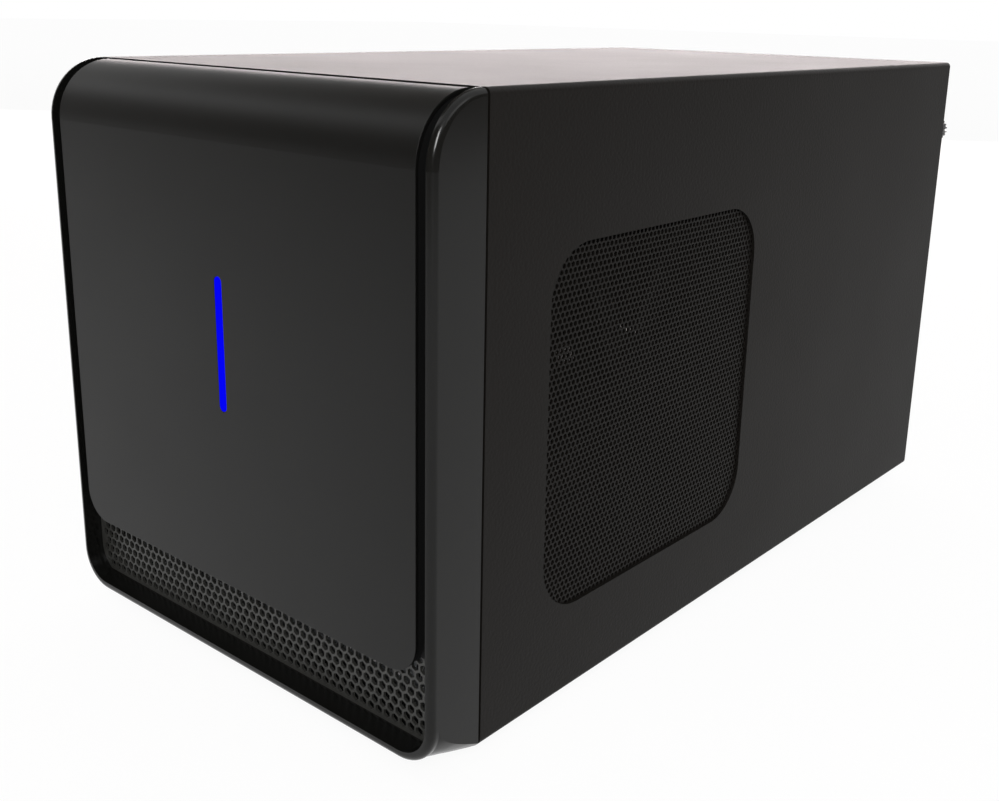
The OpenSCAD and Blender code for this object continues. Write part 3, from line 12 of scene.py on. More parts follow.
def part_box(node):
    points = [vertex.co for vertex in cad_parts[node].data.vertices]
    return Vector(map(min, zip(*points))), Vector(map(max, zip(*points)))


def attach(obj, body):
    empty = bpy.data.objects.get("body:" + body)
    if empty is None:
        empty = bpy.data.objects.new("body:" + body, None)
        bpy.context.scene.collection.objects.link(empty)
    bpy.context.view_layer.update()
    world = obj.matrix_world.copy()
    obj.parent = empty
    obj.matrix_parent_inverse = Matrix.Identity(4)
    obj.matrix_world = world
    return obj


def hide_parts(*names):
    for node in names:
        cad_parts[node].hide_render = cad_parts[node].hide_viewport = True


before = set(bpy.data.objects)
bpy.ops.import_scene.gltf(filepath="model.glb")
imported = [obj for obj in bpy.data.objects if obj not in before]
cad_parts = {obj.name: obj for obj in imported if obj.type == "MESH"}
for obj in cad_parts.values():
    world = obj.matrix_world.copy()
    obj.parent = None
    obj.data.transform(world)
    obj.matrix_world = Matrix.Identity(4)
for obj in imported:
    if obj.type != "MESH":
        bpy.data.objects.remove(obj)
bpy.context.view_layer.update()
scene = bpy.context.scene
scene.view_settings.view_transform = "Standard"
MM = 0.001

# Camera
# It stands in front of the right corner, a little above the chassis, where its two upright sides and
# a sliver of its top show. Its lens and place come from the chassis's own edges.
IMAGE_W, IMAGE_H = 999, 801
FOCAL_PX = 1188.85
CENTRE_PX = (514.56, 334.41)
EYE = Vector((300.2, -389.0, 222.0)) * MM
TURN, TILT, ROLL = 39.92, 15.37, 1.28

camera = bpy.data.objects.new("camera", bpy.data.cameras.new("camera"))
camera.data.sensor_width = 36
camera.data.lens = FOCAL_PX * camera.data.sensor_width / IMAGE_W
camera.data.shift_x = (IMAGE_W / 2 - CENTRE_PX[0]) / IMAGE_W
camera.data.shift_y = (CENTRE_PX[1] - IMAGE_H / 2) / IMAGE_W
camera.data.clip_start = 10 * MM
camera.matrix_world = (
    Matrix.Translation(EYE)
    @ Matrix.Rotation(math.radians(TURN), 4, "Z")
    @ Matrix.Rotation(math.radians(90 - TILT), 4, "X")
    @ Matrix.Rotation(math.radians(ROLL), 4, "Z")
)
scene.collection.objects.link(camera)
scene.camera = camera

# Room
# A white light tent with a wide soft lamp over the left shoulder, one on the right, a long one behind
# that skims the top and a small one that draws a highlight on the rim. Three grey cards darken what
# the sides and the rounded top mirror. Walls and floor are white to the eye and in reflections.
WALL_LIGHT = 0.7
FLOOR_HALF = 12
PAPER_GLOW = 0.93
SQUARE = ((-1, -1), (1, -1), (1, 1), (-1, 1))


def add(tree, kind, values=None, links=None, **settings):
    """Adds a node, with its settings, its sockets' values and its links."""
    made = tree.nodes.new(kind)
    for name, value in settings.items():
        setattr(made, name, value)
    for name, value in (values or {}).items():
        made.inputs[name].default_value = value
    for name, source in (links or {}).items():
        tree.links.new(source, made.inputs[name])
    return made


def linear(code):
    """Linear colour of an sRGB hex value."""
    parts = [int(code[i : i + 2], 16) / 255 for i in (1, 3, 5)]
    return [p / 12.92 if p <= 0.04045 else ((p + 0.055) / 1.055) ** 2.4 for p in parts] + [1]


world = bpy.data.worlds.new("room")
scene.world = world
world.use_nodes = True
world.node_tree.nodes.clear()


def seen_ray(tree):
    """One for rays that show a thing to the eye, straight, mirrored or through something clear."""
    path = add(tree, "ShaderNodeLightPath").outputs
    pair = {0: path["Is Camera Ray"], 1: path["Is Transmission Ray"]}
    both = add(tree, "ShaderNodeMath", links=pair, operation="MAXIMUM")
    every = {0: both.outputs[0], 1: path["Is Glossy Ray"]}
    return add(tree, "ShaderNodeMath", links=every, operation="MAXIMUM").outputs[0]


tree = world.node_tree
level = add(tree, "ShaderNodeMix", {2: WALL_LIGHT, 3: 1.0}, {0: seen_ray(tree)})
wall = add(tree, "ShaderNodeBackground", {"Color": linear("#ffffff")}, {"Strength": level.outputs[0]})
add(tree, "ShaderNodeOutputWorld", links={"Surface": wall.outputs[0]})


def lamp(name, place, aim, width, height, watts, code="#ffffff"):
    """A flat softbox at a place, turned to what it lights."""
    light = bpy.data.lights.new(name, "AREA")
    light.shape = "RECTANGLE"
    light.size, light.size_y, light.energy = width, height, watts
    light.color = linear(code)[:3]
    holder = bpy.data.objects.new(name, light)
    aim_way = Vector(aim) - Vector(place)
    holder.matrix_world = Matrix.Translation(place) @ aim_way.to_track_quat("-Z", "Y").to_matrix().to_4x4()
    scene.collection.objects.link(holder)


lamp("softbox_over_left", (-0.9, -1.0, 1.5), (0, 0, 0.1), 1.4, 1.4, 4)
lamp("softbox_right", (1.6, 0.2, 1.0), (0, 0, 0.1), 1.2, 1.2, 6)
lamp("softbox_behind", (-1.0, 1.5, 0.36), (0, 0, 0.2), 2.6, 0.6, 42, "#fff3f3")
lamp("small_box_over_right", (0.75, -0.95, 0.8), (0.09, -0.17, 0.18), 0.26, 0.5, 13)


def panel(name, origin, along_one, along_two):
    """A flat four-sided panel from its middle and half of each side, which is part of the room."""
    corners = [Vector(origin) + Vector(along_one) * u + Vector(along_two) * v for u, v in SQUARE]
    mesh = bpy.data.meshes.new(name)
    mesh.from_pydata(corners, [], [(0, 1, 2, 3)])
    made = bpy.data.objects.new(name, mesh)
    scene.collection.objects.link(made)
    return made


floor = panel("floor", (0, 0, 0), (FLOOR_HALF, 0, 0), (0, FLOOR_HALF, 0))

# Matt grey card, which the camera doesn't see but every glossy face mirrors
grey_card = bpy.data.materials.new("grey card")
grey_card.use_nodes = True
grey_card.node_tree.nodes["Principled BSDF"].inputs["Base Color"].default_value = linear("#706e69")
grey_card.node_tree.nodes["Principled BSDF"].inputs["Specular IOR Level"].default_value = 0
for name, origin, sideways, across in (
    ("card_in_front", (-1.0, -1.15, 0.8), (2.3, 0, 0), (0, 0, 0.8)),
    ("card_on_right", (1.25, 1.1, 0.45), (0, 2.3, 0), (0, 0, 0.45)),
    ("card_overhead", (-1.5, 0.6, 1.7), (1.0, 0, 0), (0, 1.3, 0)),
):
    card = panel(name, origin, sideways, across)
    card.data.materials.append(grey_card)
    card.visible_camera = False

# White paper, which glows to the eye and in reflections and still takes the chassis's shadow
paper = bpy.data.materials.new("white paper floor")
paper.use_nodes = True
tree = paper.node_tree
sheet = tree.nodes["Principled BSDF"]
sheet.inputs["Base Color"].default_value = linear("#fafafa")
sheet.inputs["Roughness"].default_value = 0.9
sheet.inputs["Specular IOR Level"].default_value = 0
glow = add(tree, "ShaderNodeEmission", {"Color": linear("#ffffff"), "Strength": 1.0})
share = add(tree, "ShaderNodeMath", {1: PAPER_GLOW}, {0: seen_ray(tree)}, operation="MULTIPLY")
look = add(tree, "ShaderNodeMixShader", links={0: share.outputs[0], 1: sheet.outputs[0], 2: glow.outputs[0]})
tree.links.new(look.outputs[0], tree.nodes["Material Output"].inputs["Surface"])
floor.data.materials.append(paper)

# Sleeve
# One folded sheet of mild steel with a fine black powder coat. The coat is matt, with a skin like
# very fine leather that only shows where light grazes it, as on the top. Every finish here has a
# grain, a tenth as high as it is wide, and most have clouds 45 mm across in their gloss.
CLOUD, GRAIN_RISE = 45 * MM, 0.1


def finish(name, code, roughness, specular=0.5, metallic=0.0, grain_mm=0.0, lift=0.0, blotch=0.0):
    """A shader of one colour, with a grain of a real size in its surface and blotches in its gloss."""
    material = bpy.data.materials.new(name)
    material.use_nodes = True
    nodes = material.node_tree
    shader = nodes.nodes["Principled BSDF"]
    shader.inputs["Base Color"].default_value = linear(code)
    shader.inputs["Roughness"].default_value = roughness
    shader.inputs["Specular IOR Level"].default_value = specular
    shader.inputs["Metallic"].default_value = metallic
    place = add(nodes, "ShaderNodeTexCoord").outputs["Object"]
    if grain_mm:
        scale = {"Scale": 1 / (grain_mm * MM), "Detail": 2.0}
        grain = add(nodes, "ShaderNodeTexNoise", scale, {"Vector": place})
        height = {"Strength": lift, "Distance": GRAIN_RISE * grain_mm * MM}
        bump = add(nodes, "ShaderNodeBump", height, {"Height": grain.outputs[0]})
        nodes.links.new(bump.outputs[0], shader.inputs["Normal"])
    if blotch:
        cloud = add(nodes, "ShaderNodeTexNoise", {"Scale": 1 / CLOUD, "Detail": 4.0}, {"Vector": place})
        ends = {"To Min": roughness - blotch, "To Max": roughness + blotch}
        spread = add(nodes, "ShaderNodeMapRange", ends, {"Value": cloud.outputs[0]})
        nodes.links.new(spread.outputs[0], shader.inputs["Roughness"])
    return material


def dress(material, *names):
    """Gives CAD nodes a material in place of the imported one."""
    for name in names:
        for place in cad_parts[name].material_slots:
            place.material = material


powder_coat = finish("black powder coat", "#110f0d", 0.5, 0.11, grain_mm=1.1, lift=0.9, blotch=0.03)
dress(powder_coat, "outer_cover", "rear_panel", "expansion_frame", "fan_bracket")

# Side meshes
# Steel sheets with a fine staggered perforation, coated like the sleeve and fixed behind its vents.
# The holes are stamped 1.55 mm wide, 2.15 mm apart, so the sheet looks grey and the inside black.
MESH_PITCH, MESH_HOLE = 2.15 * MM, 1.55 * MM
VENT_HALF, VENT_CORNER = 59.9 * MM, 18.4 * MM
WELD = 0.01 * MM


def tree_of(name, build, floats, wholes=()):
    """A tree with named inputs, whose build function returns its geometry, made real in one finish."""
    tree = bpy.data.node_groups.new(name, "GeometryNodeTree")
    for kind, labels in (("Float", floats), ("Int", wholes), ("Material", ("Finish",))):
        for label in labels:
            tree.interface.new_socket(label, in_out="INPUT", socket_type="NodeSocket" + kind)
    tree.interface.new_socket("Pieces", in_out="OUTPUT", socket_type="NodeSocketGeometry")
    given = add(tree, "NodeGroupInput").outputs
    real = add(tree, "GeometryNodeRealizeInstances", links={0: build(tree, given)})
    done = add(tree, "GeometryNodeSetMaterial", links={0: real.outputs[0], "Material": given["Finish"]})
    add(tree, "NodeGroupOutput", links={0: done.outputs[0]})
    return tree


def perforation(tree, given):
    """A flat sheet in X and Y of six-sided cells, with a hole in each cell inside a rounded square."""

    def maths(operation, a, b=0.0):
        links = {i: v for i, v in enumerate((a, b)) if isinstance(v, bpy.types.NodeSocket)}
        values = {i: v for i, v in enumerate((a, b)) if isinstance(v, (int, float))}
        return add(tree, "ShaderNodeMath", values, links, operation=operation).outputs[0]

    # One point in the middle of each cell, row by row
    row_pitch = maths("MULTIPLY", given["Pitch"], math.sqrt(3) / 2)
    columns = maths("FLOOR", maths("DIVIDE", given["Length"], given["Pitch"]))
    rows = maths("FLOOR", maths("DIVIDE", given["Height"], row_pitch))
    index = add(tree, "GeometryNodeInputIndex").outputs[0]
    row = maths("FLOOR", maths("DIVIDE", maths("ADD", index, 0.5), columns))
    column = maths("SUBTRACT", index, maths("MULTIPLY", row, columns))
    across = maths("ADD", column, maths("MULTIPLY", maths("FLOORED_MODULO", row, 2), 0.5))
    x = maths("MULTIPLY", maths("SUBTRACT", across, maths("MULTIPLY", columns, 0.5)), given["Pitch"])
    middle_row = maths("MULTIPLY", maths("SUBTRACT", rows, 1), 0.5)
    y = maths("MULTIPLY", maths("SUBTRACT", row, middle_row), row_pitch)
    where = add(tree, "ShaderNodeCombineXYZ", links={0: x, 1: y})
    number = maths("MULTIPLY", columns, rows)
    points = add(tree, "GeometryNodePoints", links={"Count": number, "Position": where.outputs[0]})

    # Cells whose middle is inside the vent are open
    spot = add(tree, "ShaderNodeSeparateXYZ", links={0: add(tree, "GeometryNodeInputPosition").outputs[0]})
    straight = maths("SUBTRACT", given["Vent Half"], given["Vent Corner"])
    past = [maths("SUBTRACT", maths("ABSOLUTE", spot.outputs[way]), straight) for way in (0, 1)]
    past = [maths("MAXIMUM", reach) for reach in past]
    squares = [maths("MULTIPLY", reach, reach) for reach in past]
    reach = maths("SQRT", maths("ADD", *squares))
    is_open = maths("LESS_THAN", reach, given["Vent Corner"])
    is_shut = maths("SUBTRACT", 1.0, is_open)

    # A cell is a hexagon, and an open one keeps the ring between it and its hole
    radius = {"Radius": maths("DIVIDE", given["Pitch"], math.sqrt(3))}
    cell = add(tree, "GeometryNodeMeshCircle", {"Vertices": 6}, radius, fill_type="NGON")
    cell = add(tree, "GeometryNodeTransform", {"Rotation": (0, 0, math.radians(30))}, {0: cell.outputs[0]})
    split = {"Offset Scale": 0.0, "Individual": True}
    inner = add(tree, "GeometryNodeExtrudeMesh", split, {0: cell.outputs[0]})
    middle = inner.outputs["Top"]
    shrink = maths("DIVIDE", given["Hole"], given["Pitch"])
    shrunk = {0: inner.outputs[0], "Selection": middle, "Scale": shrink}
    hole = add(tree, "GeometryNodeScaleElements", links=shrunk)
    open_middle = {0: hole.outputs[0], "Selection": middle}
    ring = add(tree, "GeometryNodeDeleteGeometry", links=open_middle, domain="FACE")
    flat = add(tree, "GeometryNodeJoinGeometry")
    for shape, chosen in ((ring, is_open), (cell, is_shut)):
        placed = {"Points": points.outputs[0], "Selection": chosen, "Instance": shape.outputs[0]}
        tree.links.new(add(tree, "GeometryNodeInstanceOnPoints", links=placed).outputs[0], flat.inputs[0])
    loose = add(tree, "GeometryNodeRealizeInstances", links={0: flat.outputs[0]})
    face = add(tree, "GeometryNodeMergeByDistance", {"Distance": WELD}, {0: loose.outputs[0]})

    # The flat sheet gets its thickness, with walls only in its holes and round its edge
    lift = add(tree, "ShaderNodeCombineXYZ", links={2: given["Thickness"]})
    raised = {"Mesh": face.outputs[0], "Offset": lift.outputs[0]}
    walls = add(tree, "GeometryNodeExtrudeMesh", {"Individual": False}, raised)
    back = add(tree, "GeometryNodeFlipFaces", links={0: face.outputs[0]})
    both = add(tree, "GeometryNodeJoinGeometry")
    tree.links.new(walls.outputs[0], both.inputs[0])
    tree.links.new(back.outputs[0], both.inputs[0])
    return add(tree, "GeometryNodeMergeByDistance", {"Distance": WELD}, {0: both.outputs[0]}).outputs[0]


def grown(name, tree, place, **inputs):
    """Runs a tree with its named inputs and returns what it makes as a plain mesh object in its place."""
    seed = bpy.data.objects.new(name + "_seed", bpy.data.meshes.new(name + "_seed"))
    scene.collection.objects.link(seed)
    modifier = seed.modifiers.new("grow", "NODES")
    modifier.node_group = tree
    keys = {s.name: s.identifier for s in tree.interface.items_tree if s.in_out == "INPUT"}
    for key, value in inputs.items():
        modifier[keys[key.replace("_", " ")]] = value
    ready = seed.evaluated_get(bpy.context.evaluated_depsgraph_get())
    mesh = bpy.data.meshes.new_from_object(ready)
    mesh.transform(place)
    mesh.name = name
    made = bpy.data.objects.new(name, mesh)
    scene.collection.objects.link(made)
    bpy.data.objects.remove(seed)
    return made


sheet_sizes = ("Length", "Height", "Vent Half", "Vent Corner", "Pitch", "Hole", "Thickness")
sheet_tree = tree_of("perforated sheet", perforation, sheet_sizes)
for side in ("right", "left"):
    low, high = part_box(f"side_mesh_{side}")
    middle = (low + high) / 2
    upright = Matrix(((0, 0, 1, low.x), (1, 0, 0, middle.y), (0, 1, 0, middle.z), (0, 0, 0, 1)))
    sheet = grown(
        f"fine_mesh_{side}",
        sheet_tree,
        upright,
        Length=high.y - low.y,
        Height=high.z - low.z,
        Vent_Half=VENT_HALF,
        Vent_Corner=VENT_CORNER,
        Pitch=MESH_PITCH,
        Hole=MESH_HOLE,
        Thickness=high.x - low.x,
        Finish=powder_coat,
    )
    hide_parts(f"side_mesh_{side}")
    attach(sheet, "cover")

# Bezel
# Moulded ABS in one piece, dyed black, from a polished mould: it mirrors the room softly along its
# rounded rim.
bezel_abs = finish("moulded black ABS", "#0d0d0c", 0.2, 0.23, grain_mm=0.5, lift=0.1, blotch=0.03)
dress(bezel_abs, "front_bezel")

# Behind the polished rim the mould keeps its spark texture, so the groove is dull; its colour is also
# darkened there as painted shade, which makes it the darkest part
RIM_INNER_X, GROOVE_LOW_Z, GROOVE_ROUGHNESS = 89.9 * MM, 38 * MM, 0.7
nodes = bezel_abs.node_tree
skin = nodes.nodes["Principled BSDF"]
spot = add(nodes, "ShaderNodeSeparateXYZ", links={0: add(nodes, "ShaderNodeTexCoord").outputs["Object"]})
side = add(nodes, "ShaderNodeMath", links={0: spot.outputs[0]}, operation="ABSOLUTE")
inside = add(nodes, "ShaderNodeMath", {1: RIM_INNER_X}, {0: side.outputs[0]}, operation="LESS_THAN")
above = add(nodes, "ShaderNodeMath", {1: GROOVE_LOW_Z}, {0: spot.outputs[2]}, operation="GREATER_THAN")
# The groove mask gives both a duller gloss and painted shade
dull = add(nodes, "ShaderNodeMath", links={0: inside.outputs[0], 1: above.outputs[0]}, operation="MULTIPLY")
# Painted shade: inside the rim and above the sill the base colour drops from #0d0d0c to #060606
shades = {6: linear("#0d0d0c"), 7: linear("#060606")}
shade = add(nodes, "ShaderNodeMix", shades, {0: dull.outputs[0]}, data_type="RGBA")
nodes.links.new(shade.outputs[2], skin.inputs["Base Color"])
polish = skin.inputs["Roughness"].links[0].from_socket
rough = add(nodes, "ShaderNodeMix", {3: GROOVE_ROUGHNESS}, {0: dull.outputs[0], 2: polish})
nodes.links.new(rough.outputs[0], skin.inputs["Roughness"])

# Fascia
# A plate of the same plastic with a satin paint, which draws the room out into soft bands along its
# rounded top. Its edges are broken by a radius too small for the solid, so a shader rounds them.
fascia_paint = finish("satin black fascia", "#0b0b0a", 0.4, 0.22, grain_mm=0.4, lift=0.12, blotch=0.04)
EDGE_ROUND = 0.35 * MM
nodes = fascia_paint.node_tree
edge = add(nodes, "ShaderNodeBevel", {"Radius": EDGE_ROUND}, samples=4)
nodes.links.new(edge.outputs[0], nodes.nodes["Bump"].inputs["Normal"])
dress(fascia_paint, "front_fascia")

# Front grille
# Moulded with its hexagonal holes, and dyed a black that has greyed a little, so the ribs stand out
# from the dark behind them.
grille_abs = finish("moulded grille ABS", "#2b2b29", 0.4, 0.4, grain_mm=0.4, lift=0.1)
dress(grille_abs, "front_grille")

# Light
# A clear acrylic bar that lamps light from behind. Its face glows an even deep blue, bright enough to
# hide its own gloss.
BLUE_LEVEL = 1.0
light_acrylic = finish("lit acrylic", "#000003", 0.25, 0.0)
shader = light_acrylic.node_tree.nodes["Principled BSDF"]
shader.inputs["Emission Color"].default_value = linear("#0505f5")
shader.inputs["Emission Strength"].default_value = BLUE_LEVEL
dress(light_acrylic, "light_guide")

# Tray, brace and power supply case
# Folded sheet steel, hot-dip galvanised. The zinc cools in spangles about 8 mm across, each a touch
# lighter or darker and glossier than its neighbours.
SPANGLE = 8 * MM


def zinc_sheet(name, dark, light, gloss, dull):
    """Zinc with a spangle: each crystal has its own shade and its own gloss."""
    material = finish(name, light, dull, metallic=1.0, grain_mm=0.6, lift=0.08)
    nodes = material.node_tree
    shader = nodes.nodes["Principled BSDF"]
    place = add(nodes, "ShaderNodeTexCoord").outputs["Object"]
    crystal = add(nodes, "ShaderNodeTexVoronoi", {"Scale": 1 / SPANGLE}, {"Vector": place}).outputs["Color"]
    one = add(nodes, "ShaderNodeSeparateColor", links={0: crystal}).outputs[0]
    shade = add(nodes, "ShaderNodeMix", {6: linear(dark), 7: linear(light)}, {0: one}, data_type="RGBA")
    nodes.links.new(shade.outputs[2], shader.inputs["Base Color"])
    spread = add(nodes, "ShaderNodeMapRange", {"To Min": gloss, "To Max": dull}, {"Value": one})
    nodes.links.new(spread.outputs[0], shader.inputs["Roughness"])
    return material


galvanised = zinc_sheet("galvanised steel", "#7f8184", "#8f9193", 0.36, 0.46)
dress(galvanised, "base_tray", "top_brace", "psu_case", "psu_lid")

# Screws, rivets and thumbscrews
# Zinc-plated machine screws with a socket, aluminium rivets, and two steel thumbscrews with a black
# oxide.

# Bright zinc, a little blue
zinc_plate = finish("zinc plated screw", "#8e9195", 0.3, metallic=1.0, grain_mm=0.3, lift=0.1, blotch=0.05)
dress(zinc_plate, "bezel_screws", "brace_screws", "light_screws", "foot_screws", "psu_screws")
dress(zinc_plate, "slot_screws", "board_screws")

# Soft pale aluminium, brighter than the zinc
aluminium = finish("aluminium rivet", "#c2c3c4", 0.38, metallic=1.0, grain_mm=0.4, lift=0.08)
dress(aluminium, "frame_rivets")

# Oiled black oxide, a dark metal with worn lights
oxide = finish("black oxide steel", "#2c2c2d", 0.36, metallic=0.7, grain_mm=0.4, lift=0.12, blotch=0.08)
dress(oxide, "thumbscrew_right", "thumbscrew_left", "case_fan_screws")

# Feet and grommet
# Moulded rubber, dull and faintly pebbled. The feet are screwed to the tray through their recess.
rubber = finish("black rubber", "#141414", 0.82, 0.25, grain_mm=0.7, lift=0.4, blotch=0.06)
dress(rubber, "foot_front_right", "foot_front_left", "foot_rear_right", "foot_rear_left", "lead_grommet")

# Fans
# Frames and impellers of glass-filled PBT, moulded in black, which leaves a soft even sheen.
fan_pbt = finish("moulded fan PBT", "#181819", 0.46, 0.4, grain_mm=0.5, lift=0.15, blotch=0.04)

# The impeller's own mould is smoother, so its blades catch more light
blade_pbt = finish("moulded blade PBT", "#212123", 0.36, 0.45, grain_mm=0.8, lift=0.08, blotch=0.04)
dress(fan_pbt, "case_fan_frame", "psu_fan_frame")
dress(blade_pbt, "case_fan_rotor", "psu_fan_rotor")

# Nickel plate is warmer than zinc and mirrors the room sharply
bright_nickel = finish("nickel plate", "#a8a6a1", 0.2, metallic=1.0, grain_mm=0.5, lift=0.05, blotch=0.04)
dress(bright_nickel, "psu_fan_guard", "inlet_pins", "host_port")

# Leads
# Black PVC sheaths, pushed through the grommet and on to their headers. The sheath is extruded, so its
# surface is even and only half glossy.
sheath = finish("PVC sheath", "#171718", 0.5, 0.4, grain_mm=0.35, lift=0.2)
dress(sheath, "light_lead", "case_fan_lead", "psu_harness")

# Inlet, switch and slot covers
# Flame-retardant nylon, moulded in black, on the supply's rear face. The slot covers are plated steel.
nylon = finish("moulded nylon", "#161617", 0.4, 0.45, grain_mm=0.45, lift=0.14, blotch=0.04)
dress(nylon, "power_inlet", "switch_housing", "switch_rocker", "card_socket", "power_header")

# Nickel-plated sheet, faintly clouded by its plating bath
plated = finish("plated slot cover", "#858687", 0.32, metallic=1.0, grain_mm=0.9, lift=0.05, blotch=0.07)
dress(plated, "slot_cover_1", "slot_cover_2")


def on_off_marks(tree, given):
    """A bar on the upper half of a rocker and a ring on its lower half, in X and Y about its crest."""
    up = add(tree, "ShaderNodeCombineXYZ", links={1: given["Apart"]})
    down = add(tree, "ShaderNodeVectorMath", {"Scale": -1.0}, {0: up.outputs[0]}, operation="SCALE")
    sides = {0: given["Line"], 1: given["Bar Height"], 2: given["Line"]}
    block = add(tree, "ShaderNodeCombineXYZ", links=sides)
    bar = add(tree, "GeometryNodeMeshCube", links={"Size": block.outputs[0]})
    half = add(tree, "ShaderNodeMath", {1: 0.5}, {0: given["Line"]}, operation="MULTIPLY").outputs[0]
    circle, wire = (
        add(tree, "GeometryNodeCurvePrimitiveCircle", {"Resolution": steps}, {"Radius": radius})
        for steps, radius in ((32, given["Ring Radius"]), (8, half))
    )
    ring = add(tree, "GeometryNodeCurveToMesh", links={0: circle.outputs[0], 1: wire.outputs[0]})
    both = add(tree, "GeometryNodeJoinGeometry")
    for shape, place, tilt in ((bar, up, "Upper Tilt"), (ring, down, "Lower Tilt")):
        step = {0: shape.outputs[0], "Translation": place.outputs[0]}
        moved = add(tree, "GeometryNodeTransform", links=step)
        turn = add(tree, "ShaderNodeCombineXYZ", links={0: given[tilt]})
        swing = {0: moved.outputs[0], "Rotation": turn.outputs[0]}
        turned = add(tree, "GeometryNodeTransform", links=swing)
        tree.links.new(turned.outputs[0], both.inputs[0])
    return both.outputs[0]


# The rocker's two halves meet in a shallow valley, and at rest its upper half stands out
VALLEY_IN, HALF_TILT = 2.0 * MM, math.radians(10)
low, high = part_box("switch_rocker")
middle = (low + high) / 2
valley_y = low.y + (high.z - low.z) / 2 + VALLEY_IN * math.cos(HALF_TILT)
valley_z = middle.z - VALLEY_IN * math.sin(HALF_TILT)
mark_sizes = ("Apart", "Bar Height", "Ring Radius", "Line", "Upper Tilt", "Lower Tilt")
marks = grown(
    "switch_marks",
    tree_of("on and off marks", on_off_marks, mark_sizes),
    Matrix(((-1, 0, 0, middle.x), (0, 0, 1, valley_y), (0, 1, 0, valley_z), (0, 0, 0, 1))),
    Apart=4.2 * MM,
    Bar_Height=3.4 * MM,
    Ring_Radius=1.7 * MM,
    Line=0.55 * MM,
    Upper_Tilt=2 * HALF_TILT,
    Lower_Tilt=0.0,
    Finish=finish("white moulded mark", "#dcdcd8", 0.5, 0.4, grain_mm=0.3, lift=0.05),
)
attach(marks, "rocker")

# Slot board
# A green four-layer board on brass standoffs, with its slot, its chip under a finned heatsink and the
# small parts that feed them. Under the lacquer its copper shows as slightly lighter lines, 1.7 mm
# apart, which is coarser than real ones so that they show.
BRICK, BRICK_ROW, BRICK_WIDTH, LINE_SHARE = 14.4 * MM, 0.12, 0.9, 0.012
board_lacquer = finish("green solder mask", "#16402a", 0.32, 0.5, grain_mm=0.4, lift=0.05)
nodes = board_lacquer.node_tree
place = add(nodes, "ShaderNodeTexCoord").outputs["Object"]
flat = add(nodes, "ShaderNodeVectorMath", {1: (1, 1, 0)}, {0: place}, operation="MULTIPLY")
settings = {"Scale": 1 / BRICK, "Brick Width": BRICK_WIDTH, "Row Height": BRICK_ROW}
settings |= {"Color1": linear("#123824"), "Color2": linear("#174a2f")}
settings |= {"Mortar": linear("#2b6b48"), "Mortar Size": LINE_SHARE}
lines = add(nodes, "ShaderNodeTexBrick", settings, {"Vector": flat.outputs[0]}, offset=0.35, squash=0.6)
nodes.links.new(lines.outputs["Color"], nodes.nodes["Principled BSDF"].inputs["Base Color"])
dress(board_lacquer, "controller_board", "light_board")

# Brown paper laminate, unlacquered, and enamelled copper under a dark varnish
laminate = finish("bare laminate", "#8a7433", 0.5, 0.4, grain_mm=1.2, lift=0.12, blotch=0.06)
dress(laminate, "psu_board")
windings = finish("varnished windings", "#3a3a3f", 0.42, 0.4, grain_mm=1.0, lift=0.3, blotch=0.08)
dress(windings, "psu_components")

# Clear epoxy looks milky over the lamps' white bases
dress(finish("clear lamp resin", "#f2f2e6", 0.2, grain_mm=0.4, lift=0.03), "light_lamps")

# Turned brass, bright yellow with fine tool marks
brass = finish("turned brass", "#c09a4c", 0.28, metallic=1.0, grain_mm=0.3, lift=0.1, blotch=0.05)
dress(brass, "board_standoffs")

# Undyed nylon is ivory and half glossy, and moulding epoxy a dull black
ivory = finish("ivory nylon", "#e4e1d4", 0.45, 0.4, grain_mm=0.5, lift=0.1, blotch=0.04)
dress(ivory, "fan_header", "socket_latch")
dress(finish("black epoxy", "#1b1b1c", 0.5, 0.4, grain_mm=0.25, lift=0.2), "controller_chip")

# Extruded fins, anodised a cool grey that stays metallic
anodised = finish("anodised aluminium", "#8b8d92", 0.34, metallic=1.0, grain_mm=0.25, lift=0.2, blotch=0.05)
dress(anodised, "chip_heatsink")

# Shrunk sleeves with a slight shine, and ferrite with a dull stony skin
sleeve = finish("capacitor sleeve", "#3a3d45", 0.3, 0.5, metallic=0.4, grain_mm=0.6, lift=0.05)
dress(sleeve, "board_capacitors")
ferrite = finish("pressed ferrite", "#47474a", 0.62, 0.4, grain_mm=0.3, lift=0.35, blotch=0.05)
dress(ferrite, "board_chokes")


def contacts(tree, given):
    """Bent spring contacts in a row along Y."""
    step = add(tree, "ShaderNodeCombineXYZ", links={1: given["Pitch"]})
    line = add(tree, "GeometryNodeMeshLine", links={"Count": given["Count"], "Offset": step.outputs[0]})
    sides = {0: given["Blade"], 1: given["Blade"], 2: given["Height"]}
    size = add(tree, "ShaderNodeCombineXYZ", links=sides)
    blade = add(tree, "GeometryNodeMeshCube", links={"Size": size.outputs[0]})
    links = {"Points": line.outputs[0], "Instance": blade.outputs[0]}
    return add(tree, "GeometryNodeInstanceOnPoints", links=links).outputs[0]


def chips(tree, given):
    """Small ceramic parts in rows on a rectangle, in the clusters that a cloudy pattern picks."""
    size = {"Size X": given["Width"], "Size Y": given["Depth"]}
    size |= {"Vertices X": given["Columns"], "Vertices Y": given["Rows"]}
    field = add(tree, "GeometryNodeMeshGrid", links=size)
    spot = add(tree, "GeometryNodeInputPosition").outputs[0]
    cloud = add(tree, "ShaderNodeTexNoise", {"Detail": 1.0}, {"Vector": spot, "Scale": given["Cluster"]})
    chosen = add(tree, "ShaderNodeMath", {1: 0.5}, {0: cloud.outputs[0]}, operation="GREATER_THAN")
    body = add(tree, "GeometryNodeMeshCube", {"Size": PART_SIZE})
    links = {"Points": field.outputs[0], "Instance": body.outputs[0], "Selection": chosen.outputs[0]}
    return add(tree, "GeometryNodeInstanceOnPoints", links=links).outputs[0]


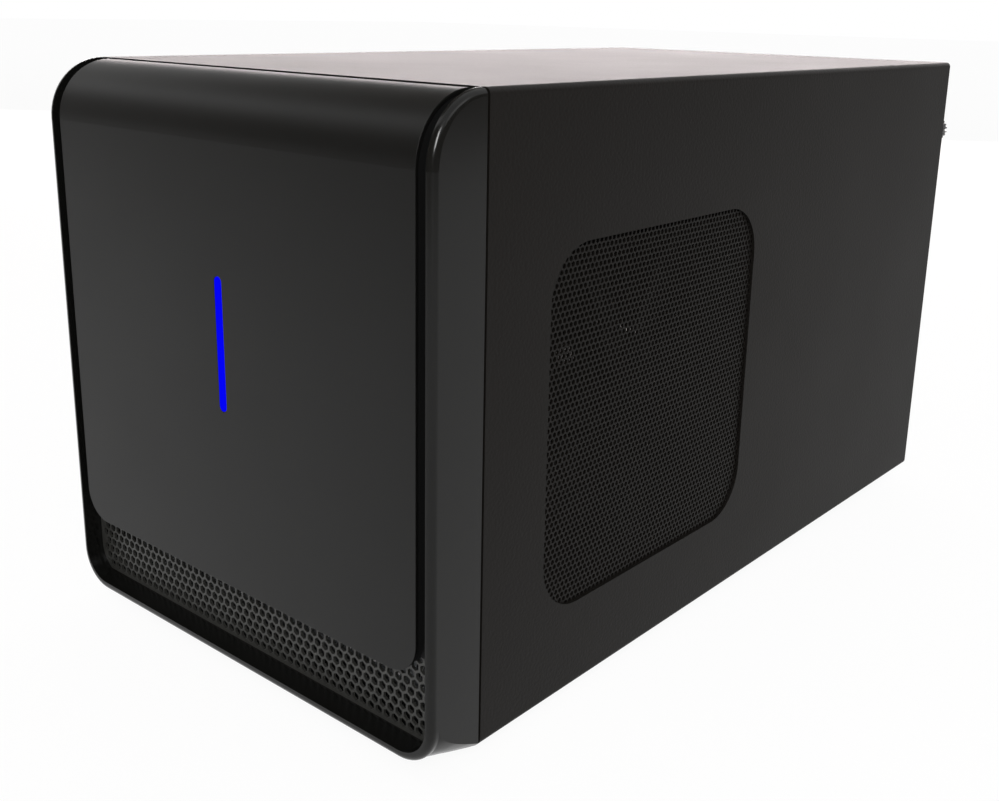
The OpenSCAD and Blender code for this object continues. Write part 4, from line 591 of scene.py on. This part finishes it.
# Two rows of contacts with a flash of gold face each other in the slot, ahead of its key
CONTACTS, CONTACT_PITCH, CONTACT_LOW = 68, 1.0 * MM, 4 * MM
CONTACT_BLADE, ROW_OFFSET, FIRST_CONTACT = 0.35 * MM, 0.75 * MM, 14 * MM
contact_tree = tree_of("spring contacts", contacts, ("Pitch", "Blade", "Height"), ("Count",))
low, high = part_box("card_socket")
gold = finish("gold flash contact", "#b98f3c", 0.25, metallic=1.0, grain_mm=0.2, lift=0.05)
for side in (-1, 1):
    row_x = (low.x + high.x) / 2 + side * ROW_OFFSET
    row = Vector((row_x, low.y + FIRST_CONTACT, low.z + CONTACT_LOW))
    blades = grown(
        f"slot_contacts_{'right' if side > 0 else 'left'}",
        contact_tree,
        Matrix.Translation(row),
        Count=CONTACTS,
        Pitch=CONTACT_PITCH,
        Blade=CONTACT_BLADE,
        Height=2 * CONTACT_LOW,
        Finish=gold,
    )
    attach(blades, "chassis")

# Small parts, 2 mm long, stand on places 3.6 mm and 2.4 mm apart
PART_SIZE = Vector((2.0, 1.25, 0.8)) * MM
PART_PITCH_X, PART_PITCH_Y, CLUSTER = 3.6 * MM, 2.4 * MM, 11 * MM
chip_tree = tree_of("small board parts", chips, ("Width", "Depth", "Cluster"), ("Columns", "Rows"))

# Tan capacitors and black resistors stand in patches about as large as their clusters
TAN_SHARE = 0.55
ceramic = finish("tinned ceramic part", "#b09878", 0.4, 0.5)
nodes = ceramic.node_tree
place = add(nodes, "ShaderNodeTexCoord").outputs["Object"]
patch = add(nodes, "ShaderNodeTexVoronoi", {"Scale": 1 / CLUSTER}, {"Vector": place}).outputs["Color"]
share = add(nodes, "ShaderNodeSeparateColor", links={0: patch}).outputs[0]
is_black = add(nodes, "ShaderNodeMath", {1: TAN_SHARE}, {0: share}, operation="GREATER_THAN")
shades = {6: linear("#b09878"), 7: linear("#1c1c1e")}
shade = add(nodes, "ShaderNodeMix", shades, {0: is_black.outputs[0]}, data_type="RGBA")
nodes.links.new(shade.outputs[2], nodes.nodes["Principled BSDF"].inputs["Base Color"])

# Each field's middle from the board's front left corner, and its width and depth, in millimetres
PART_FIELDS = (
    ("rear_left", 22, 120, 34, 70),
    ("front_left", 14, 60, 14, 20),
    ("front_right", 76, 10, 12, 10),
)
board_low, board_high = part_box("controller_board")
for name, x, y, width, depth in PART_FIELDS:
    field = grown(
        f"small_parts_{name}",
        chip_tree,
        Matrix.Translation((board_low.x + x * MM, board_low.y + y * MM, board_high.z + PART_SIZE.z / 2)),
        Width=width * MM,
        Depth=depth * MM,
        Columns=round(width * MM / PART_PITCH_X) + 1,
        Rows=round(depth * MM / PART_PITCH_Y) + 1,
        Cluster=1 / CLUSTER,
        Finish=ceramic,
    )
    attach(field, "chassis")
